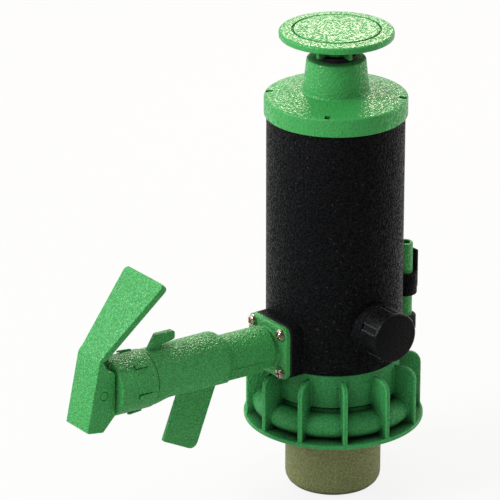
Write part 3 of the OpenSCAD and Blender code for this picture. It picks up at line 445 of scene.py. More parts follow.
# Roundings that several pieces share, in millimetres.
CRISP = 0.3
NEAT = 0.4
BROKEN = 0.5
SMOOTH = 0.6
MILD = 0.7
SOFT = 0.8
FULL = 0.9


def oblong(left, low, right, high, roundings=(0, 0, 0, 0)):
    """Corners of a rectangle with their roundings, from the lower left one round to the upper left."""
    return list(zip((left, right, right, left), (low, low, high, high), roundings))


def softened(corners, closed=True):
    """Outline through corners (x, y, radius), where each corner with a radius becomes an arc."""
    count = len(corners)
    outline = []
    for i, (x, y, radius) in enumerate(corners):
        at_end = not closed and i in (0, count - 1)
        if radius == 0 or at_end:
            outline.append((x, y))
            continue
        corner = Vector((x, y))
        back = (Vector(corners[i - 1][:2]) - corner).normalized()
        ahead = (Vector(corners[(i + 1) % count][:2]) - corner).normalized()
        half = back.angle(ahead) / 2
        centre = corner + (back + ahead).normalized() * radius / math.sin(half)
        first = corner + back * radius / math.tan(half) - centre
        last = corner + ahead * radius / math.tan(half) - centre
        start = math.degrees(math.atan2(first.y, first.x))
        # The arc takes the shorter way round.
        turn = (math.degrees(math.atan2(last.y, last.x)) - start + 540) % 360 - 180
        outline.extend(arc(centre, radius, start, start + turn))
    return outline


# %% Turning, plating, joining


def turned(name, corners, ring=True, sides=96):
    """Turn a softened profile (radius, height, rounding) about Z, by extruding and scaling a circle.

    A ring's profile closes on itself. Any other runs from the axis back to the axis.
    """
    stations = softened(corners, closed=ring)
    bpy.ops.object.select_all(action="DESELECT")
    radius, height = stations[0]
    bpy.ops.mesh.primitive_circle_add(vertices=sides, radius=radius * MM, location=(0, 0, height * MM))
    piece = bpy.context.object
    piece.name = name
    bpy.ops.object.mode_set(mode="EDIT")
    bpy.ops.mesh.select_all(action="SELECT")
    for next_radius, next_height in stations[1:]:
        rise = (0, 0, (next_height - height) * MM)
        bpy.ops.mesh.extrude_region_move(TRANSFORM_OT_translate={"value": rise})
        grow = next_radius / radius
        bpy.ops.transform.resize(value=(grow, grow, 1), center_override=(0, 0, next_height * MM))
        radius, height = next_radius, next_height
    bpy.ops.mesh.select_all(action="DESELECT")
    bpy.ops.mesh.select_non_manifold()
    if ring:
        bpy.ops.mesh.bridge_edge_loops()
    else:
        bpy.ops.mesh.fill_holes(sides=0)
    return close_mesh(piece)


def drawn_line(name, points):
    """Extrude one vertex from point to point, and stay in edit mode with the whole line selected."""
    bpy.ops.object.select_all(action="DESELECT")
    bpy.ops.mesh.primitive_plane_add(size=MM)
    piece = bpy.context.object
    piece.name = name
    bpy.ops.object.mode_set(mode="EDIT")
    bpy.ops.mesh.select_mode(type="VERT")
    bpy.ops.mesh.select_all(action="SELECT")
    bpy.ops.mesh.merge(type="CENTER")
    bpy.ops.transform.translate(value=[v * MM for v in points[0]])
    for here, there in zip(points, points[1:]):
        step = [(b - a) * MM for a, b in zip(here, there)]
        bpy.ops.mesh.extrude_region_move(TRANSFORM_OT_translate={"value": step})
    bpy.ops.mesh.select_all(action="SELECT")
    return piece


def plate(name, outline, thickness):
    """Draw an outline in X and Y, fill it and pull it up to its thickness."""
    piece = drawn_line(name, [(x, y, 0) for x, y in outline])
    bpy.ops.mesh.edge_face_add()
    bpy.ops.mesh.extrude_region_move(TRANSFORM_OT_translate={"value": (0, 0, thickness * MM)})
    return close_mesh(piece)


def apply_modifier(piece, kind, **settings):
    """Add a modifier, set it and apply it."""
    focus(piece)
    modifier = piece.modifiers.new(kind.lower(), kind)
    for key, value in settings.items():
        setattr(modifier, key, value)
    bpy.ops.object.modifier_apply(modifier=modifier.name)
    return piece


def eased(piece, width, segments=3, angle=50):
    """Round all edges that are sharper than an angle."""
    return apply_modifier(
        piece, "BEVEL", width=width * MM, segments=segments,
        limit_method="ANGLE", angle_limit=math.radians(angle)
    )


def combine(piece, other, operation="UNION"):
    """Join another piece to this one, or cut it away, and remove the other."""
    apply_modifier(piece, "BOOLEAN", operation=operation, solver="EXACT", object=other)
    bpy.data.objects.remove(other)
    return piece


def twin_of(piece):
    """Copy a piece together with its mesh."""
    twin = piece.copy()
    twin.data = piece.data.copy()
    bpy.context.collection.objects.link(twin)
    return twin


def ring_of(piece, count, start=0.0, axis="Z"):
    """Copy a piece round an axis, each copy with its own mesh, and join them into one object."""
    twins = [piece] + [twin_of(piece) for _ in range(count - 1)]
    for i, twin in enumerate(twins):
        settle(twin, spun(start + 360 * i / count, axis))
    focus(*twins)
    bpy.ops.object.join()
    return piece


def rounded_box(name, width, height, thickness, radius, edge):
    """A plate with round corners and eased rims, centred on the origin in X and Y."""
    corners = oblong(-width / 2, -height / 2, width / 2, height / 2, [radius] * 4)
    return eased(plate(name, softened(corners), thickness), edge)


def dress(piece, body, slot, material, *nodes, angle=32):
    """Shade a finished piece, give it its finish and its body, and hide the solids that it stands for."""
    focus(piece)
    bpy.ops.object.shade_smooth_by_angle(angle=math.radians(angle))
    piece.data.materials.clear()
    piece.data.materials.append(material)
    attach(piece, body)
    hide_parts(*nodes)
    print(piece.name, "has", len(piece.data.polygons), "faces")


# %% [markdown]
# ## The frames that pieces are drawn in
# A plate is drawn flat on X and Y and then stood up: SIDE turns its outline into X and Z, SECTION turns
# it into Y and Z with its thickness along X, and LENGTHWISE lays a turned piece along X. The spout has a
# frame of its own, with X running out along its axis from the flange, a little upward.

# %% Drawing frames
SIDE = spun(90, "X")
SECTION = Matrix(((0, 0, 1, 0), (1, 0, 0, 0), (0, 1, 0, 0), (0, 0, 0, 1)))
LENGTHWISE = spun(90, "Y")
HALF_TURN = spun(180, "Z")
SPOUT_TILT = 2.5


def side_plate(name, outline, thickness, edge, segments=3):
    """A plate drawn in side view, centred on Y = 0, with eased rims."""
    piece = settle(plate(name, outline, thickness), SIDE)
    return eased(settle(piece, at(0, thickness / 2, 0)), edge, segments)


body_low, body_high = box_mm("cylinder_body")
collar_low, collar_high = box_mm("collar")
gasket_low, gasket_high = box_mm("flange_gasket")
FLANGE_T = 4.0
RUN_GAP = 0.3
body_r = body_high.y
body_floor = collar_high.z + RUN_GAP
spout_z = (gasket_low.z + gasket_high.z) / 2
spout_face = FLANGE_T - gasket_low.x
SPOUT = at(-spout_face, 0, spout_z) @ spun(SPOUT_TILT, "Y") @ HALF_TURN
plug_z = sum(corner.z for corner in box_mm("plug_gasket")) / 2
PORT = at(0, 0, plug_z) @ SIDE
print("spout axis at", round(spout_z, 2), "mm, plug at", round(plug_z, 2), "mm")

# %% [markdown]
# ## The knob
# The palm knob is a thin plate with a slightly crowned top, and a groove parts its middle from its brim.
# Under it a short skirt and a hub take the rod, and five ribs stand on the boss's ring when the plunger
# is down. Turning one profile from the middle of the crown round to the rod's hole gives everything but
# the ribs, which are plates joined to it.

# %% Knob
knob_low, knob_high = box_mm("knob")
rod_high = box_mm("plunger_rod")[1]
KNOB_PLATE = 4.5
KNOB_FALL = 2.0
KNOB_EDGE = 2.0
CROWN_STEPS = 8
GROOVE_SHARE = 0.74
GROOVE_W = 1.5
GROOVE_DEEP = 1.3
GROOVE_DRAFT = 0.2
KNOB_RIM_ROUND = 1.4
KNOB_UNDER_ROUND = 1.2
SKIRT_R = 18.0
SKIRT_H = 8.0
SKIRT_WALL = 2.4
CHANNEL_ROOF = 1.0
HUB_WALL = 4.0
KNOB_RIBS = 5
KNOB_RIB_T = 2.4
KNOB_RIB_TURN = -97.5
RIB_SINK = 1.0

knob_r = knob_high.x
knob_top = knob_high.z
knob_under = knob_top - KNOB_PLATE
hub_r = rod_high.x + HUB_WALL


def crown(radius, rounding=0.0, sink=0.0):
    """A corner on the knob's crowned top, or sunk below it."""
    return radius, knob_top - KNOB_FALL * (radius / knob_r) ** 2 - sink, rounding


groove_in = GROOVE_SHARE * knob_r
groove_out = groove_in + GROOVE_W
brim_w = knob_r - KNOB_EDGE - groove_out
knob_profile = [crown(max(AXIS, groove_in * i / CROWN_STEPS)) for i in range(CROWN_STEPS)]
knob_profile += [
    crown(groove_in, CRISP),
    crown(groove_in + GROOVE_DRAFT, CRISP, GROOVE_DEEP),
    crown(groove_out - GROOVE_DRAFT, CRISP, GROOVE_DEEP),
    crown(groove_out, CRISP),
]
knob_profile += [crown(groove_out + brim_w * i / CROWN_STEPS) for i in range(1, CROWN_STEPS + 1)]
knob_profile += [
    crown(knob_r, KNOB_RIM_ROUND),
    (knob_r, knob_under - KNOB_FALL, KNOB_UNDER_ROUND),
    (SKIRT_R, knob_under, KNOB_UNDER_ROUND),
    (SKIRT_R, knob_under - SKIRT_H, SMOOTH),
    (SKIRT_R - SKIRT_WALL, knob_under - SKIRT_H, SMOOTH),
    (SKIRT_R - SKIRT_WALL, knob_under - CHANNEL_ROOF, SMOOTH),
    (hub_r, knob_under - CHANNEL_ROOF, SMOOTH),
    (hub_r, knob_low.z, BROKEN),
    (rod_high.x, knob_low.z, CRISP),
    (rod_high.x, rod_high.z, 0),
    (AXIS, rod_high.z, 0),
]
knob = turned("knob_moulding", knob_profile, ring=False, sides=120)

rib_outline = oblong(hub_r - RIB_SINK, knob_low.z, SKIRT_R, knob_under + RIB_SINK, (0, SOFT, 0, 0))
knob_rib = side_plate("knob_rib", softened(rib_outline), KNOB_RIB_T, CRISP, 2)
combine(knob, ring_of(knob_rib, KNOB_RIBS, KNOB_RIB_TURN))
dress(knob, "plunger", "green_plastic", green_grained, "knob")

# %% [markdown]
# ## The cap
# The cap screws over the cylinder's neck. Its top rises gently to a tapered boss that guides the rod, and
# four small pockets take a pin spanner. The pockets are cut with little rounded blocks.

# %% Cap
cap_low, cap_high = box_mm("top_cap")
CAP_PLUG = 4.0
CAP_SIDE = 11.9
CAP_RISE = 3.7
CAP_EDGE_ROUND = 1.5
NECK_R = 43.0
NECK_H = 7.3
BOSS_FOOT_R = 21.3
BOSS_TOP_R = 19.0
BOSS_FOOT_ROUND = 1.6
BOSS_TOP_ROUND = 1.4
WIPER_R = 12.1
WIPER_H = 6.0
BUSH_R = 9.1
POCKETS = 4
POCKET_TURN = 45
POCKET_LEN = 4.8
POCKET_W = 3.6
POCKET_DEEP = 3.0
POCKET_RIM = 0.9

cap_r = cap_high.x
shoulder_z = cap_low.z + CAP_PLUG
cap_edge_z = shoulder_z + CAP_SIDE
boss_top = cap_high.z
cap = turned("cap_moulding", [
    (BUSH_R, shoulder_z + NECK_H, 0),
    (NECK_R, shoulder_z + NECK_H, 0),
    (NECK_R, shoulder_z, 0),
    (cap_r, shoulder_z, SMOOTH),
    (cap_r, cap_edge_z, CAP_EDGE_ROUND),
    (BOSS_FOOT_R, cap_edge_z + CAP_RISE, BOSS_FOOT_ROUND),
    (BOSS_TOP_R, boss_top, BOSS_TOP_ROUND),
    (WIPER_R, boss_top, CRISP),
    (WIPER_R, boss_top - WIPER_H, 0),
    (BUSH_R, boss_top - WIPER_H, 0),
], sides=128)
pocket = rounded_box("pocket", POCKET_LEN, POCKET_W, POCKET_DEEP + CAP_RISE, MILD, NEAT)
settle(pocket, at(cap_r - POCKET_RIM - POCKET_LEN / 2, 0, cap_edge_z - POCKET_DEEP))
combine(cap, ring_of(pocket, POCKETS, POCKET_TURN), "DIFFERENCE")
dress(cap, "pump_body", "green_plastic", green_grained, "top_cap")

# %% [markdown]
# ## The cylinder
# The black body is a length of tube with a floor, a spigot that hangs it in the drum fitting, a pad for
# the spout's flange, a threaded nozzle under the plug and a socket for the vent tube. The tube is turned
# as one closed ring. The pads are joined on, and then the chamber and the ports are cut through
# everything.

# %% Cylinder
plug_low, plug_high = box_mm("plug_cap")
gasket_end = -box_mm("plug_gasket")[1].y
vent_low, vent_high = box_mm("vent_tube")
BODY_WALL = 4.0
FLOOR_T = 6.0
BODY_FOOT_ROUND = 1.3
CHAMBER_ROUND = 1.5
INLET_R = 11.0
SEAT_RIM = 1.5
SPIGOT_R = 24.0
PORT_PAD_H = 3.5
PORT_PAD_OVER = 0.6
NOZZLE_R = 12.0
PORT_BORE_R = 8.5
OUTLET_R = 9.5
THREAD_PITCH = 3.0
THREAD_DEEP = 0.8
THREAD_FLANK = 0.8
THREAD_ROOT = 0.6
THREADS = 3
THREAD_LEAD = 1.0
FLANGE_ROUND = 5.0
SOCKET_WALL = 2.7
SOCKET_RISE = 4.0
WEB_W = 11.2
WEB_SHORT = 2.0
SEAT_GAP = 0.1

bore_r = body_r - BODY_WALL
floor_top = body_floor + FLOOR_T
cylinder = turned("cylinder_moulding", [
    (INLET_R, body_low.z, SMOOTH),
    (SPIGOT_R, body_low.z, SOFT),
    (SPIGOT_R, body_floor, 0),
    (body_r, body_floor, BODY_FOOT_ROUND),
    (body_r, shoulder_z, BROKEN),
    (NECK_R, shoulder_z, 0),
    (NECK_R, body_high.z, CRISP),
    (bore_r, body_high.z, CRISP),
    (bore_r, floor_top, CHAMBER_ROUND),
    (INLET_R + SEAT_RIM, floor_top, 0),
    (INLET_R + SEAT_RIM, floor_top + SEAT_RIM, CRISP),
    (INLET_R, floor_top + SEAT_RIM, CRISP),
], sides=128)

pad_w = gasket_high.y - gasket_low.y
pad_h = gasket_high.z - gasket_low.z
pad_root = bore_r - BODY_WALL
pad_face = -gasket_high.x
spout_pad = rounded_box("spout_pad", pad_w, pad_h, pad_face - pad_root, FLANGE_ROUND, MILD)
settle(spout_pad, at(-pad_face, 0, spout_z) @ SECTION)
combine(cylinder, spout_pad)

port_pad_r = plug_high.x + PORT_PAD_OVER
port_face = body_r + PORT_PAD_H
nozzle_end = gasket_end - RUN_GAP


def ring_thread(radius, deep, first, pitch, turns, flank, root):
    """Corners of a thread's section: each turn falls along a flank to its root and rises again."""
    corners = []
    for z in [first + pitch * i for i in range(turns)]:
        corners += [
            (radius, z, 0), (radius - deep, z + flank, 0),
            (radius - deep, z + flank + root, 0), (radius, z + 2 * flank + root, 0),
        ]
    return corners


nozzle_thread = ring_thread(
    NOZZLE_R, THREAD_DEEP, port_face + THREAD_LEAD, THREAD_PITCH, THREADS, THREAD_FLANK, THREAD_ROOT
)
port = turned("port", [
    (PORT_BORE_R, pad_root, 0),
    (port_pad_r, pad_root, 0),
    (port_pad_r, port_face, SOFT),
    (NOZZLE_R, port_face, NEAT),
    *nozzle_thread,
    (NOZZLE_R, nozzle_end, BROKEN),
    (PORT_BORE_R, nozzle_end, CRISP),
], sides=72)
combine(cylinder, settle(port, PORT))

vent_x = (vent_low.x + vent_high.x) / 2
vent_r = (vent_high.x - vent_low.x) / 2
socket_top = floor_top + SOCKET_RISE
socket_box = oblong(AXIS, body_floor, vent_r + SOCKET_WALL, socket_top, (0, SOFT, SOFT, 0))
socket = turned("socket", socket_box, ring=False, sides=48)
settle(socket, at(vent_x, 0, 0))
web_end = vent_x - WEB_SHORT
web = rounded_box("web", web_end - bore_r, WEB_W, socket_top - body_floor - 2 * SEAT_GAP, BROKEN, BROKEN)
settle(web, at((web_end + bore_r) / 2, 0, body_floor + SEAT_GAP))
combine(socket, web)
combine(cylinder, socket)
print("cylinder with its pads has", len(cylinder.data.polygons), "faces")

# %% Chamber and ports of the cylinder
# A cutter runs past the faces that it opens.
PAST = 1.0
DRILL_EDGE = 0.1
CHAMBER_SHY = 0.01
CHAMBER_START = 0.5


def bore(piece, radius, start, end, place=Matrix.Identity(4), sides=48):
    """Cut a round hole, drawn along Z and put to its place, through a piece."""
    ends = oblong(AXIS, start, radius, end, (0, DRILL_EDGE, DRILL_EDGE, 0))
    cutter = turned("cutter", ends, ring=False, sides=sides)
    return combine(piece, settle(cutter, place), "DIFFERENCE")


chamber_start = floor_top + SEAT_RIM + CHAMBER_START
bore(cylinder, bore_r - CHAMBER_SHY, chamber_start, body_high.z + PAST, sides=128)
bore(cylinder, OUTLET_R, -pad_face - PAST, -pad_root + PAST, at(0, 0, spout_z) @ LENGTHWISE)
bore(cylinder, PORT_BORE_R, pad_root - PAST, nozzle_end + PAST, PORT)
bore(cylinder, vent_r + SEAT_GAP, vent_low.z, socket_top + PAST, at(vent_x, 0, 0))
dress(cylinder, "pump_body", "black_plastic", black_grained, "cylinder_body")

# %% [markdown]
# ## The plug
# The second port is closed with a screw plug: a plain round face, and five wide grip pads parted by
# grooves that stop short of the face. It is turned whole, hollow for the nozzle, and the grooves are cut
# with one ring of blocks.

# %% Plug
PLUG_FACE_T = 2.0
PLUG_FACE_ROUND = 1.6
GROOVE_ACROSS = 4.0
GROOVE_INTO = 1.8
GROOVE_PAST = 2.0
PLUG_PADS = 5
PLUG_GROOVE_TURN = 11

plug_r = plug_high.x
plug_back = -plug_high.y
plug_end = -plug_low.y
plug = turned("plug_moulding", [
    (AXIS, plug_end, 0),
    (plug_r, plug_end, PLUG_FACE_ROUND),
    (plug_r, plug_back, BROKEN),
    (NOZZLE_R + RUN_GAP, plug_back, CRISP),
    (NOZZLE_R + RUN_GAP, plug_end - PLUG_FACE_T, 0),
    (AXIS, plug_end - PLUG_FACE_T, 0),
], ring=False, sides=96)
grip_len = plug_end - PLUG_FACE_T - plug_back + GROOVE_PAST
groove = rounded_box("groove", 2 * GROOVE_INTO, GROOVE_ACROSS, grip_len, SMOOTH, BROKEN)
settle(groove, at(plug_r, 0, plug_back - GROOVE_PAST))
combine(plug, ring_of(groove, PLUG_PADS, PLUG_GROOVE_TURN), "DIFFERENCE")
dress(settle(plug, PORT), "plug_cap", "black_plastic", black_glossy, "plug_cap")

# %% [markdown]
# ## The drum collar
# The collar is a nut that hangs under the cylinder and screws over the drum's neck. Twelve ribs give the
# hand a grip, and between them the thread shows as a fat roll with a deep crease above it. The wall, rim,
# thread and roll are one turned profile, and the ribs are plates that run through all of it.

# %% Collar
COLLAR_WALL_R = 43.0
COLLAR_TOP_ROUND = 1.0
COLLAR_BORE_R = 39.2
LIP_T = 6.0
RIM_T = 2.8
BEAD_R = 53.5
BEAD_H = 16.6
BEAD_STEPS = 20
CREASE_TURN = 112
CREASE_DEEP = 2.2
CREASE_RISE = 3.6
RIBS = 12
RIB_T = 3.2
RIB_OUT_R = 57.7
RIB_GAP = 2.0
RIB_ROUND = 8.0
RIB_ROOT_R = 41.0
COLLAR_THREADS = 3
COLLAR_PITCH = 6.0
COLLAR_LEAD = 5.0
COLLAR_THREAD_DEEP = 0.9
COLLAR_FLANK = 1.2
COLLAR_CREST = 1.0

rim_r = collar_high.x
collar_foot = collar_low.z
collar_top = collar_high.z
bead_z = collar_foot + RIM_T + BEAD_H / 2
bead_stand = BEAD_R - COLLAR_WALL_R
bead_arc_r = (BEAD_H * BEAD_H / 4 + bead_stand * bead_stand) / (2 * bead_stand)
bead_half = math.degrees(math.asin(BEAD_H / 2 / bead_arc_r))
bead = arc((BEAD_R - bead_arc_r, bead_z), bead_arc_r, CREASE_TURN, -bead_half, BEAD_STEPS)
drum_thread = ring_thread(
    COLLAR_BORE_R, COLLAR_THREAD_DEEP, collar_foot + COLLAR_LEAD, COLLAR_PITCH, COLLAR_THREADS,
    COLLAR_FLANK, COLLAR_CREST
)
collar = turned("collar_moulding", [
    (COLLAR_BORE_R, collar_foot, BROKEN),
    *drum_thread,
    (COLLAR_BORE_R, collar_top - LIP_T, SMOOTH),
    (SPIGOT_R + RUN_GAP, collar_top - LIP_T, CRISP),
    (SPIGOT_R + RUN_GAP, collar_top, CRISP),
    (COLLAR_WALL_R, collar_top, COLLAR_TOP_ROUND),
    (COLLAR_WALL_R, bead[0][1] + CREASE_RISE, SMOOTH),
    (COLLAR_WALL_R - CREASE_DEEP, bead[0][1] + CREASE_RISE / 2, NEAT),
    *[(r, z, 0) for r, z in bead],
    (rim_r, collar_foot + RIM_T, FULL),
    (rim_r, collar_foot, FULL),
], sides=144)
print("collar without ribs has", len(collar.data.polygons), "faces")

# %% Ribs of the collar
rib_top = min(body_floor, gasket_low.z) - RIB_GAP
grip_outline = oblong(RIB_ROOT_R, collar_foot + RIM_T / 2, RIB_OUT_R, rib_top, (0, 0, RIB_ROUND, 0))
combine(collar, ring_of(side_plate("grip_rib", softened(grip_outline), RIB_T, SOFT), RIBS))
# The collar's finish paints shade into its green.
dress(collar, "collar", "green_plastic", green_in_painted_shade, "collar")

# %% [markdown]
# ## The stub
# The khaki adaptor hangs the pump in the drum's neck: a thick stub with a well-rounded foot, a bore for
# the dip tube and a small air hole beside it. One turned profile makes it, and the air hole is drilled.

# %% Stub
stub_low, stub_high = box_mm("inlet_adaptor")
STUB_R = 31.5
STUB_ROUND = 8.0
DIP_R = 12.6
DIP_LEN = 30.0
ADAPTOR_FLANGE = 7.4
AIR_R = 1.5
AIR_X = 17.5

stub = turned("stub_moulding", [
    (DIP_R, stub_low.z, SOFT),
    (STUB_R, stub_low.z, STUB_ROUND),
    (STUB_R, stub_high.z - ADAPTOR_FLANGE, BROKEN),
    (stub_high.x, stub_high.z - ADAPTOR_FLANGE, BROKEN),
    (stub_high.x, stub_high.z, BROKEN),
    (SPIGOT_R + SEAT_GAP, stub_high.z, BROKEN),
    (SPIGOT_R + SEAT_GAP, body_low.z - SEAT_GAP, 0),
    (INLET_R, body_low.z - SEAT_GAP, CRISP),
    (INLET_R, stub_low.z + DIP_LEN, CRISP),
    (DIP_R, stub_low.z + DIP_LEN, 0),
], sides=112)
bore(stub, AIR_R, stub_low.z - PAST, body_low.z + PAST, at(AIR_X, 0, 0), sides=24)
dress(stub, "pump_body", "khaki_plastic", khaki_smooth, "inlet_adaptor")

# %% [markdown]
# ## The spout
# One moulding carries the flange, a tube that steps up to the barrel, the blade under it and a small hook
# on top. The tube is round above and square below, the square part stops short of the flange to clear the
# screws, and the underside is flat until it sweeps down in an arch to the nose. The round part is turned
# along the spout, the rest are plates joined to it, and the underside is cut with one block drawn in side
# view.

# %% Spout: tube and barrel
TUBE_R = 14.75
TUBE_LEN = 37.5
NECK_IN_R = 13.2
NECK_FILLET = 1.4
NECK_LEN = 4.0
NECK_PAST = 2.0
NECK_CORE_PAST = 5.0
BARREL_ROOT = 0.5
BOX_START = 14.0
BOX_TOP = -3.0
LEDGE = 0.3
SQUARE_LEAD = 0.3
SQUARE_SHORT = 0.5
SQUARE_SINK = 0.05
SQUARE_ROUND = 1.2
STEP_LEN = 5.5
STEP_ROUND = 4.0
BARREL_R = 18.9
BARREL_NECK_R = 18.2
SLEEVE_X = 98.0
SLEEVE_END = 126.5
NOSE_R = 16.4
NOSE_LEN = 23.4
NOSE_BORE_R = 13.4
TUBE_BORE_R = 7.5
SEAT_X = 96.4
UNDERSIDE = 9.8
UNDER_LEAD = 0.5
ARCH_R = 11.0
ARCH_X = 86.3
ARCH_STEPS = 10
SEAM_GAP = 0.45

barrel = turned("spout_moulding", [
    (AXIS, -FLANGE_T + BARREL_ROOT, 0),
    (NECK_IN_R + NECK_FILLET, -FLANGE_T + BARREL_ROOT, 0),
    (NECK_IN_R + NECK_FILLET, 0, 0),
    (NECK_IN_R, NECK_FILLET, SOFT),
    (NECK_IN_R, NECK_LEN, SMOOTH),
    (TUBE_R, NECK_LEN, SMOOTH),
    (TUBE_R, TUBE_LEN, STEP_ROUND),
    (BARREL_R, TUBE_LEN + STEP_LEN, STEP_ROUND),
    (BARREL_NECK_R, SLEEVE_X, MILD),
    (NOSE_R, SLEEVE_X, 0),
    (NOSE_R, SLEEVE_X + NOSE_LEN, SMOOTH),
    (NOSE_BORE_R, SLEEVE_X + NOSE_LEN, CRISP),
    (NOSE_BORE_R, SEAT_X, 0),
    (AXIS, SEAT_X, 0),
], ring=False, sides=112)
settle(barrel, LENGTHWISE)

lower_half = oblong(-BARREL_R, -BARREL_R, BARREL_R, BOX_TOP)
lower_neck = plate("lower_neck", softened(lower_half), BOX_START - NECK_LEN + NECK_PAST)
settle(lower_neck, at(NECK_LEN - NECK_PAST, 0, 0) @ SECTION)
bore(lower_neck, NECK_IN_R, 0, BOX_START + NECK_CORE_PAST, LENGTHWISE, sides=112)
combine(barrel, lower_neck, "DIFFERENCE")

under_start = BOX_START - UNDER_LEAD
under_outline = [(under_start, -UNDERSIDE)]
under_outline += arc((ARCH_X, -UNDERSIDE - ARCH_R), ARCH_R, 90, 0, ARCH_STEPS)
under_outline += [(ARCH_X + ARCH_R, -2 * BARREL_R), (under_start, -2 * BARREL_R)]
under_block = plate("under_block", under_outline, 3 * BARREL_R)
settle(under_block, at(0, 1.5 * BARREL_R, 0) @ SIDE)
combine(barrel, under_block, "DIFFERENCE")
square_half = TUBE_R + LEDGE
square_foot = -UNDERSIDE - SQUARE_SINK
square = softened([
    (-square_half, BOX_TOP, NEAT), (-square_half, square_foot, SQUARE_ROUND),
    (square_half, square_foot, SQUARE_ROUND), (square_half, BOX_TOP, NEAT),
])
square_part = plate("square_part", square, TUBE_LEN + STEP_LEN - BOX_START - SQUARE_SHORT)
settle(eased(square_part, BROKEN), at(BOX_START - SQUARE_LEAD, 0, 0) @ SECTION)
combine(barrel, square_part)
print("spout tube has", len(barrel.data.polygons), "faces")

# %% Spout: blade, hook and snap tabs
BLADE_T = 3.0
BLADE_X = 38.0
BLADE_W = 29.7
BLADE_LEN = 54.6
BLADE_SHORT = 12.6
BLADE_LEAN = math.radians(19.2)
BLADE_ROUND = 5.0
BLADE_SINK = 2.0
HOOK_T = 4.5
HOOK_BASE = 11.5
HOOK_ARM = 21.7
HOOK_RISE = 9.9
HOOK_SLOT = 4.2
HOOK_SINK = 3.0
HOOK_LEAN = 7.4
HOOK_SHY = 1.0
HOOK_BACK_ROUND = 2.0
HOOK_TIP_ROUND = 1.9
HOOK_SLOT_ROUND = 1.6
WINDOWS = 6
WINDOW_TURN = -40
WINDOW_X = 103.5
WINDOW_LEN = 10.0
WINDOW_W = 3.6
TAB_GAP = 0.4
TAB_T = 1.3
TAB_RISE = 1.0
TAB_LIFT = 1.7
TAB_ROOT = 1.0
TAB_EDGE = 0.25

blade_root = Vector((BLADE_X, BLADE_SINK - UNDERSIDE))
blade_way = Vector((math.sin(BLADE_LEAN), -math.cos(BLADE_LEAN)))
blade_toe = blade_root + BLADE_LEN * blade_way
blade_back = blade_root + Vector((BLADE_W, 0))
blade_heel = blade_back + (BLADE_LEN - BLADE_SHORT) * blade_way
blade = side_plate("blade", softened([
    (*blade_root, 0), (*blade_toe, BLADE_ROUND), (*blade_heel, BLADE_ROUND / 4), (*blade_back, 0)
]), BLADE_T, MILD)
combine(barrel, blade)

hook_foot = SLEEVE_X - HOOK_SHY
hook_top = BARREL_NECK_R + HOOK_RISE
hook = side_plate("hook", softened([
    (hook_foot, BARREL_NECK_R - HOOK_SINK, 0),
    (hook_foot - HOOK_LEAN, hook_top, HOOK_BACK_ROUND),
    (hook_foot - HOOK_ARM, hook_top, HOOK_TIP_ROUND),
    (hook_foot - HOOK_ARM, BARREL_NECK_R + HOOK_SLOT, HOOK_SLOT_ROUND),
    (hook_foot - HOOK_BASE, BARREL_NECK_R + HOOK_SLOT / 2, SOFT),
    (hook_foot - HOOK_BASE, BARREL_NECK_R - HOOK_SINK, 0),
]), HOOK_T, FULL)
combine(barrel, hook)

tab_end = WINDOW_X + WINDOW_LEN
tab = side_plate("tab", softened([
    (WINDOW_X + TAB_GAP, NOSE_R - TAB_ROOT, 0),
    (WINDOW_X + 3 * TAB_T, NOSE_R - TAB_ROOT, 0),
    (WINDOW_X + 2 * TAB_T, BARREL_R + TAB_RISE - TAB_T, NEAT),
    (tab_end, BARREL_R + TAB_LIFT - TAB_T, CRISP),
    (tab_end, BARREL_R + TAB_LIFT, BROKEN),
    (WINDOW_X + TAB_GAP, BARREL_R + TAB_RISE, SMOOTH),
]), WINDOW_W - 2 * TAB_GAP, TAB_EDGE)
combine(barrel, ring_of(tab, WINDOWS, WINDOW_TURN, "X"))
print("spout with blade, hook and tabs has", len(barrel.data.polygons), "faces")

# %% Spout: flange
SCREW_PITCH_Y = 29.8
SCREW_PITCH_Z = 26.8
SCREW_HOLE_R = 2.3
FLAP_ROOM_R = 11.4
FLAP_ROOM = 7.0
SCREW_PLACES = [(y * SCREW_PITCH_Y / 2, z * SCREW_PITCH_Z / 2) for y in (-1, 1) for z in (-1, 1)]

flange = rounded_box("flange", pad_w, pad_h, FLANGE_T, FLANGE_ROUND, SOFT)
flange_place = SPOUT.inverted() @ at(-spout_face, 0, spout_z)
combine(barrel, settle(flange, flange_place @ SECTION))
bore(barrel, TUBE_BORE_R, -FLANGE_T - 2 * PAST, SEAT_X + 2 * PAST, LENGTHWISE)
bore(barrel, FLAP_ROOM_R, -FLAP_ROOM, FLANGE_T + PAST, flange_place @ LENGTHWISE)
for y, z in SCREW_PLACES:
    bore(barrel, SCREW_HOLE_R, -PAST, FLANGE_T + PAST, flange_place @ at(0, y, z) @ LENGTHWISE, sides=24)
dress(settle(barrel, SPOUT), "pump_body", "green_plastic", green_satin, "spout_barrel")

# %% [markdown]
# ## The nose sleeve
# A short sleeve snaps over the spout's nose. Six windows let the spout's springy snap tabs through, which
# stand a little proud over dark slits. The sleeve is turned, and the windows are cut with one ring of
# blocks.

# %% Sleeve
SLEEVE_IN_R = 16.5
SLEEVE_LIP_R = 10.0
SLEEVE_LIP = 4.5

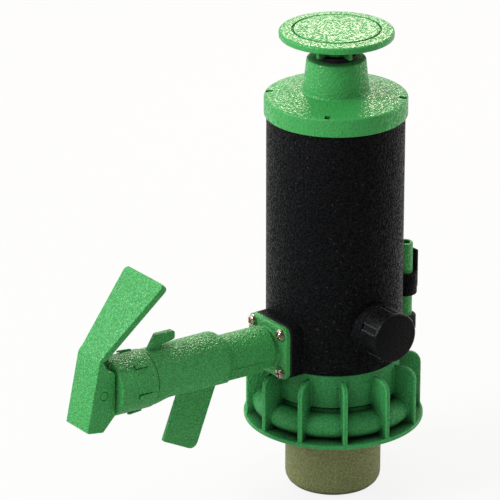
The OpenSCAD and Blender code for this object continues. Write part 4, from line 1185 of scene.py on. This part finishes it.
sleeve = turned("sleeve_moulding", [
    (SLEEVE_IN_R, SLEEVE_X + SEAM_GAP, CRISP),
    (BARREL_R, SLEEVE_X + SEAM_GAP, SOFT),
    (BARREL_R, SLEEVE_END, FULL),
    (SLEEVE_LIP_R, SLEEVE_END, BROKEN),
    (SLEEVE_LIP_R, SLEEVE_END - SLEEVE_LIP, CRISP),
    (SLEEVE_IN_R, SLEEVE_END - SLEEVE_LIP, 0),
], sides=112)
settle(sleeve, LENGTHWISE)
window = rounded_box("window", WINDOW_LEN, WINDOW_W, BARREL_R, SMOOTH, CRISP)
settle(window, at(WINDOW_X + WINDOW_LEN / 2, 0, SLEEVE_IN_R - PAST))
combine(sleeve, ring_of(window, WINDOWS, WINDOW_TURN, "X"), "DIFFERENCE")
dress(settle(sleeve, SPOUT), "pump_body", "green_plastic", green_satin, "spout_sleeve")

# %% [markdown]
# ## The lever
# The tap's lever is one bent plate: a hood hangs before the spout's mouth, a wider thumb plate leans back
# over the barrel, and two cheeks reach round to the pin. The outer skin of hood and thumb plate is drawn
# as a line in side view and pulled to its width, its tip is widened and rounded, and Solidify gives it
# its wall. The thumb plate's inner side is then pulled further in, because it is thicker than the hood.
# The cheeks are plates joined to it.

# %% Lever
pin_low, pin_high = box_mm("lever_pin")
LEVER_W = 24.0
LEVER_T = 3.0
LEVER_EDGE_ANGLE = 55
CHEEK_T = 2.5
HOOD_LEN = 46.5
HOOD_LEAN = math.radians(12.3)
THUMB_LEN = 61.0
THUMB_LEAN = math.radians(44.5)
THUMB_TIP_W = 42.0
THUMB_T = 4.8
THUMB_FOOT = 4.0
THUMB_ROUND = 4.0
TIP_REACH = 1.0
BEND = Vector((0.44, 22.5))
BEND_STEPS = 4
CHEEK_BACK = 8.07
CHEEK_TOP = 15.5
CHEEK_LOW = 15.0
CHEEK_ROUND = 4.0
CHEEK_CHAMFER = 9.5
CHEEK_LOW_ROUND = 1.0
CHEEK_BEND_ROUND = 1.2
CHEEK_LAP = 0.1
CHEEK_SHY = 1.0
PIN_HOLE_R = 3.15

pin_at = (pin_low + pin_high) / 2
LEVER = at(*pin_at) @ HALF_TURN
hood_out = Vector((math.cos(HOOD_LEAN), math.sin(HOOD_LEAN)))
hood_down = Vector((math.sin(HOOD_LEAN), -math.cos(HOOD_LEAN)))
thumb_out = Vector((math.cos(THUMB_LEAN), math.sin(THUMB_LEAN)))
thumb_up = Vector((-math.sin(THUMB_LEAN), math.cos(THUMB_LEAN)))
hood_foot = BEND + HOOD_LEN * hood_down
thumb_tip = BEND + LEVER_T * thumb_out + THUMB_LEN * thumb_up
skin_line = [tuple(hood_foot + LEVER_T * hood_out)]
skin_line += arc(BEND, LEVER_T, math.degrees(HOOD_LEAN), math.degrees(THUMB_LEAN), BEND_STEPS)
skin_line += [tuple(BEND + LEVER_T * thumb_out + THUMB_FOOT * thumb_up), tuple(thumb_tip)]


def pick_points(piece, wanted):
    """From edit mode, select only the vertices whose place from the bend passes a test."""
    bpy.ops.mesh.select_all(action="DESELECT")
    bpy.ops.object.mode_set(mode="OBJECT")
    for point in piece.data.vertices:
        point.select = wanted(Vector((point.co.x, point.co.z)) / MM - BEND)
    bpy.ops.object.mode_set(mode="EDIT")


lever = drawn_line("lever_moulding", [(x, -LEVER_W / 2, z) for x, z in skin_line])
bpy.ops.mesh.extrude_region_move(TRANSFORM_OT_translate={"value": (0, LEVER_W * MM, 0)})
pick_points(lever, lambda place: place.dot(thumb_up) > THUMB_LEN - TIP_REACH)
bpy.ops.transform.resize(value=(1, THUMB_TIP_W / LEVER_W, 1), center_override=(0, 0, 0))
bpy.ops.mesh.bevel(offset=THUMB_ROUND * MM, segments=6, affect="VERTICES")
bpy.ops.mesh.select_all(action="SELECT")
bpy.ops.mesh.normals_make_consistent(inside=False)
bpy.ops.object.mode_set(mode="OBJECT")
outward = sum(face.normal.x for face in lever.data.polygons) > 0
wall_side = -1.0 if outward else 1.0
apply_modifier(lever, "SOLIDIFY", thickness=LEVER_T * MM, offset=wall_side, use_even_offset=True)
bpy.ops.object.mode_set(mode="EDIT")
pick_points(
    lever,
    lambda place: place.dot(thumb_up) > THUMB_FOOT - TIP_REACH and place.dot(thumb_out) < LEVER_T / 2,
)
thicken = (LEVER_T - THUMB_T) * MM * thumb_out
bpy.ops.transform.translate(value=(thicken.x, 0, thicken.y))
close_mesh(lever)
eased(lever, MILD, angle=LEVER_EDGE_ANGLE)

cheek_outline = softened([
    (-CHEEK_BACK, -CHEEK_LOW, SOFT),
    (-CHEEK_BACK + CHEEK_CHAMFER, -CHEEK_LOW - CHEEK_CHAMFER, CHEEK_LOW_ROUND),
    (*(hood_foot + CHEEK_LAP * hood_out), 0),
    (*(hood_foot + (LEVER_T - CHEEK_SHY) * hood_out), 0),
    (*(BEND + (LEVER_T - CHEEK_SHY) * hood_out), 0),
    (BEND.x, BEND.y, 0),
    (BEND.x - CHEEK_ROUND, CHEEK_TOP, CHEEK_BEND_ROUND),
    (-CHEEK_BACK, CHEEK_TOP, CHEEK_ROUND),
])
for y in (CHEEK_T / 2 - LEVER_W / 2, LEVER_W / 2 - CHEEK_T / 2):
    cheek = side_plate("cheek", cheek_outline, CHEEK_T, BROKEN)
    combine(lever, settle(cheek, at(0, y, 0)))
bore(lever, PIN_HOLE_R, -LEVER_W, LEVER_W, SIDE, sides=40)
dress(settle(lever, LEVER), "tap_lever", "green_plastic", green_pebbled, "tap_lever")

pin_r = (pin_high.z - pin_low.z) / 2
pin_half = (pin_high.y - pin_low.y) / 2
pin_box = oblong(AXIS, -pin_half, pin_r, pin_half, (0, NEAT, NEAT, 0))
pin = turned("pin_turned", pin_box, ring=False, sides=40)
dress(settle(pin, at(*pin_at) @ SIDE), "tap_lever", "green_plastic", green_satin, "lever_pin")

# %% [markdown]
# ## Vent tube and clip
# A thin tube beside the cylinder lets air into the drum. A black clip holds it: a ring round the tube
# with a springy tongue on the outside.

# %% Vent
clip_low, clip_high = box_mm("vent_clip")
VENT_BORE_R = 3.25
CLIP_R = 8.4
CLIP_H = 15.0
SPINE_W = 5.0
SPINE_T = 2.2
SPINE_CHAMFER = 3.0
SPINE_SINK = 0.5
SPINE_FOOT = 0.1
SPINE_STEP = 0.2

vent_wall = oblong(VENT_BORE_R, vent_low.z, vent_r, vent_high.z, (CRISP, BROKEN, SOFT, SMOOTH))
vent = turned("vent_pipe", vent_wall, sides=64)
settle(vent, at(vent_x, 0, 0))
dress(vent, "pump_body", "green_plastic", green_satin, "vent_tube")

spine_out = clip_high.x - vent_x
clip_top = clip_low.z + CLIP_H
clip_wall = oblong(vent_r + SEAT_GAP, clip_low.z, CLIP_R, clip_top, (CRISP, SOFT, SOFT, CRISP))
clip = turned("clip_moulding", clip_wall, sides=64)
spine_in = spine_out - SPINE_CHAMFER - SPINE_SINK
spine = side_plate("spine", softened([
    (spine_in, clip_low.z + SPINE_FOOT, 0),
    (spine_out - SPINE_CHAMFER, clip_low.z + SPINE_FOOT, 0),
    (spine_out, clip_low.z + SPINE_CHAMFER, SMOOTH),
    (spine_out, clip_high.z, FULL),
    (spine_out - SPINE_T, clip_high.z, FULL),
    (spine_out - SPINE_T, clip_top - SPINE_STEP, 0),
    (spine_in, clip_top - SPINE_STEP, 0),
]), SPINE_W, NEAT)
combine(clip, spine)
settle(clip, at(vent_x, 0, 0))
dress(clip, "pump_body", "black_plastic", black_grained, "vent_clip")

# %% [markdown]
# ## The flange screws
# Four pan-head screws hold the spout. One is turned with a domed head, its cross recess is cut, and it is
# copied to the four corners with a different turn each, as a hand leaves them.

# %% Screws
screw_high = box_mm("flange_screws")[1]
SCREW_R = 2.1
HEAD_R = 3.99
HEAD_H = 2.6
HEAD_SIDE = 0.8
DOME_R = 2.9
DOME_FALL = 0.1
DOME_ROUND = 1.6
RECESS_LEN = 5.2
RECESS_W = 1.6
RECESS_DEEP = 1.6
RECESS_EDGE = 0.15
SCREW_TURNS = (20, 65, -15, 40)

shank_end = screw_high.x + spout_face
screw = turned("screw", [
    (AXIS, HEAD_H, 0),
    (DOME_R, HEAD_H - DOME_FALL, DOME_ROUND),
    (HEAD_R, HEAD_SIDE, MILD),
    (HEAD_R, 0, DRILL_EDGE),
    (SCREW_R, 0, 0),
    (SCREW_R, -shank_end, BROKEN),
    (AXIS, -shank_end, 0),
], ring=False, sides=48)
for quarter in (0, 90):
    recess = rounded_box("recess", RECESS_LEN, RECESS_W, RECESS_DEEP + PAST, CRISP, RECESS_EDGE)
    settle(recess, spun(quarter, "Z") @ at(0, 0, HEAD_H - RECESS_DEEP))
    combine(screw, recess, "DIFFERENCE")
screws = []
for (y, z), turn in zip(SCREW_PLACES, SCREW_TURNS):
    twin = settle(twin_of(screw), spun(turn, "Z"))
    screws.append(settle(twin, at(-spout_face, y, spout_z + z) @ HALF_TURN @ LENGTHWISE))
bpy.data.objects.remove(screw)
focus(*screws)
bpy.ops.object.join()
screws[0].name = "screws_turned"
dress(screws[0], "pump_body", "screw_steel", screw_steel, "flange_screws")

# %% [markdown]
# ## What stays as it is
# Seals, valve pieces, rod, piston and springs keep the shape of their solids. They hardly show, so they
# only get the finish of their material slot.

# %% Finishes of the remaining solids
SLOT_FINISH = {
    "green_plastic": green_satin,
    "black_plastic": black_grained,
    "khaki_plastic": khaki_smooth,
    "natural_plastic": undyed_smooth,
    "seal_rubber": seal_rubber,
    "spring_steel": drawn_steel,
    "screw_steel": screw_steel,
}
for subpart in frame["record"]["subparts"]:
    solid = frame["nodes"][subpart["node"]]
    solid.data.materials.clear()
    solid.data.materials.append(SLOT_FINISH[subpart["material_slot"]])

# %% [markdown]
# ## Floor, surroundings and light
# The photograph is a cut-out on white. A pale floor and a white world give that: the camera sees plain
# white, and so do mirror-like reflections that look to the far side, where the backdrop stands. The
# camera's side of the room is dark, which keeps the near faces deep in colour. The light that falls on
# the pump is kept lower, so that colours hold. One large soft lamp stands on the spout's side, and a
# small one hangs overhead. Another behind the pump glances off every upward face and wakes the grain, and
# one behind on the right draws the cylinder's edge.

# %% Floor and world
FLOOR_SIZE = 8.0
FLOOR_WHITE_SHARE = 0.86
FLOOR_GREY = 0.74
FLOOR_ROUGH = 0.9
FRONT_GREY = 0.06
WORLD_FILL = 0.48
FLOOR_BLEND = 0.15
SKY_NEAR = -0.2
SKY_FAR = 0.3
photo_right = Vector((math.cos(CAMERA_TURN), -math.sin(CAMERA_TURN), 0))
photo_away = Vector((math.sin(CAMERA_TURN), math.cos(CAMERA_TURN), 0))


def far_side(tree, vector, near, far):
    """A mask that is 0 on the camera's side of the pump and 1 on the side of the backdrop."""
    along = add_node(tree, "ShaderNodeVectorMath", {0: vector, 1: photo_away}, operation="DOT_PRODUCT")
    return ranged(tree, along.outputs["Value"], near, far)


def seen(tree, backdrop):
    """A mask of the camera's, mirror and glass rays, and how bright they find the room."""
    path = add_node(tree, "ShaderNodeLightPath")
    mirrored = mix_values(tree, backdrop, FRONT_GREY, 1.0)
    level = mix_values(tree, path.outputs["Is Glossy Ray"], 1.0, mirrored)
    mask = path.outputs["Is Camera Ray"]
    for ray in ("Is Glossy Ray", "Is Transmission Ray"):
        mask = mix_values(tree, path.outputs[ray], mask, 1.0)
    return mask, level


bpy.ops.object.select_all(action="DESELECT")
bpy.ops.mesh.primitive_plane_add(size=FLOOR_SIZE, location=(0, 0, 0))
floor = bpy.context.object
floor.name = "floor"
floor_paint, floor_tree, floor_shader = new_finish("pale_floor")
floor_colour = (FLOOR_GREY, FLOOR_GREY, FLOOR_GREY, 1)
feed(floor_tree, floor_shader, {"Roughness": FLOOR_ROUGH, "Base Color": floor_colour})
floor_place = add_node(floor_tree, "ShaderNodeNewGeometry").outputs["Position"]
floor_side = far_side(floor_tree, floor_place, -FLOOR_BLEND, FLOOR_BLEND)
floor_mask, floor_level = seen(floor_tree, floor_side)
floor_glow = add_node(floor_tree, "ShaderNodeEmission", {"Strength": floor_level})
floor_mix = add_node(floor_tree, "ShaderNodeMixShader", {
    0: scaled(floor_tree, floor_mask, FLOOR_WHITE_SHARE),
    1: floor_shader.outputs["BSDF"],
    2: floor_glow.outputs["Emission"],
})
feed(floor_tree, floor_tree.nodes["Material Output"], {"Surface": floor_mix.outputs["Shader"]})
floor.data.materials.append(floor_paint)

world = bpy.data.worlds.new("white_studio")
bpy.context.scene.world = world
world.use_nodes = True
sky_tree = world.node_tree
# In a world, Position is the direction that a ray looks in.
sky_place = add_node(sky_tree, "ShaderNodeNewGeometry").outputs["Position"]
sky_side = far_side(sky_tree, sky_place, SKY_NEAR, SKY_FAR)
sky_mask, sky_level = seen(sky_tree, sky_side)
sky_fill = mix_values(sky_tree, sky_mask, WORLD_FILL, sky_level)
feed(sky_tree, sky_tree.nodes["Background"], {"Color": (1, 1, 1, 1), "Strength": sky_fill})
print("floor and world", floor.name, world.name)

# %% Lamps
UP = Vector((0, 0, 1))
LAMP_REACH = 1.4
WARM = (1.0, 0.90, 0.68)
pump_middle = (cad_box[0] + cad_box[1]) / 2


def soft_lamp(name, right, away, up, size, power, colour=(1, 1, 1)):
    """A square area lamp in a direction given in the photograph's terms, facing the pump."""
    way = (right * photo_right + away * photo_away + up * UP).normalized()
    bpy.ops.object.light_add(type="AREA", location=pump_middle + LAMP_REACH * way)
    lamp = bpy.context.object
    lamp.name = name
    lamp.rotation_euler = way.to_track_quat("Z", "Y").to_euler()
    lamp.data.size = size
    lamp.data.energy = power
    lamp.data.color = colour
    return lamp


soft_lamp("key_lamp", right=-0.85, away=-0.35, up=0.65, size=0.7, power=15.0)
soft_lamp("top_lamp", right=0.0, away=0.2, up=0.98, size=0.25, power=2.2, colour=WARM)
soft_lamp("back_lamp", right=0.04, away=0.852, up=0.523, size=0.46, power=6.2, colour=WARM)
soft_lamp("right_lamp", right=0.9, away=0.55, up=0.3, size=0.6, power=3.0, colour=WARM)
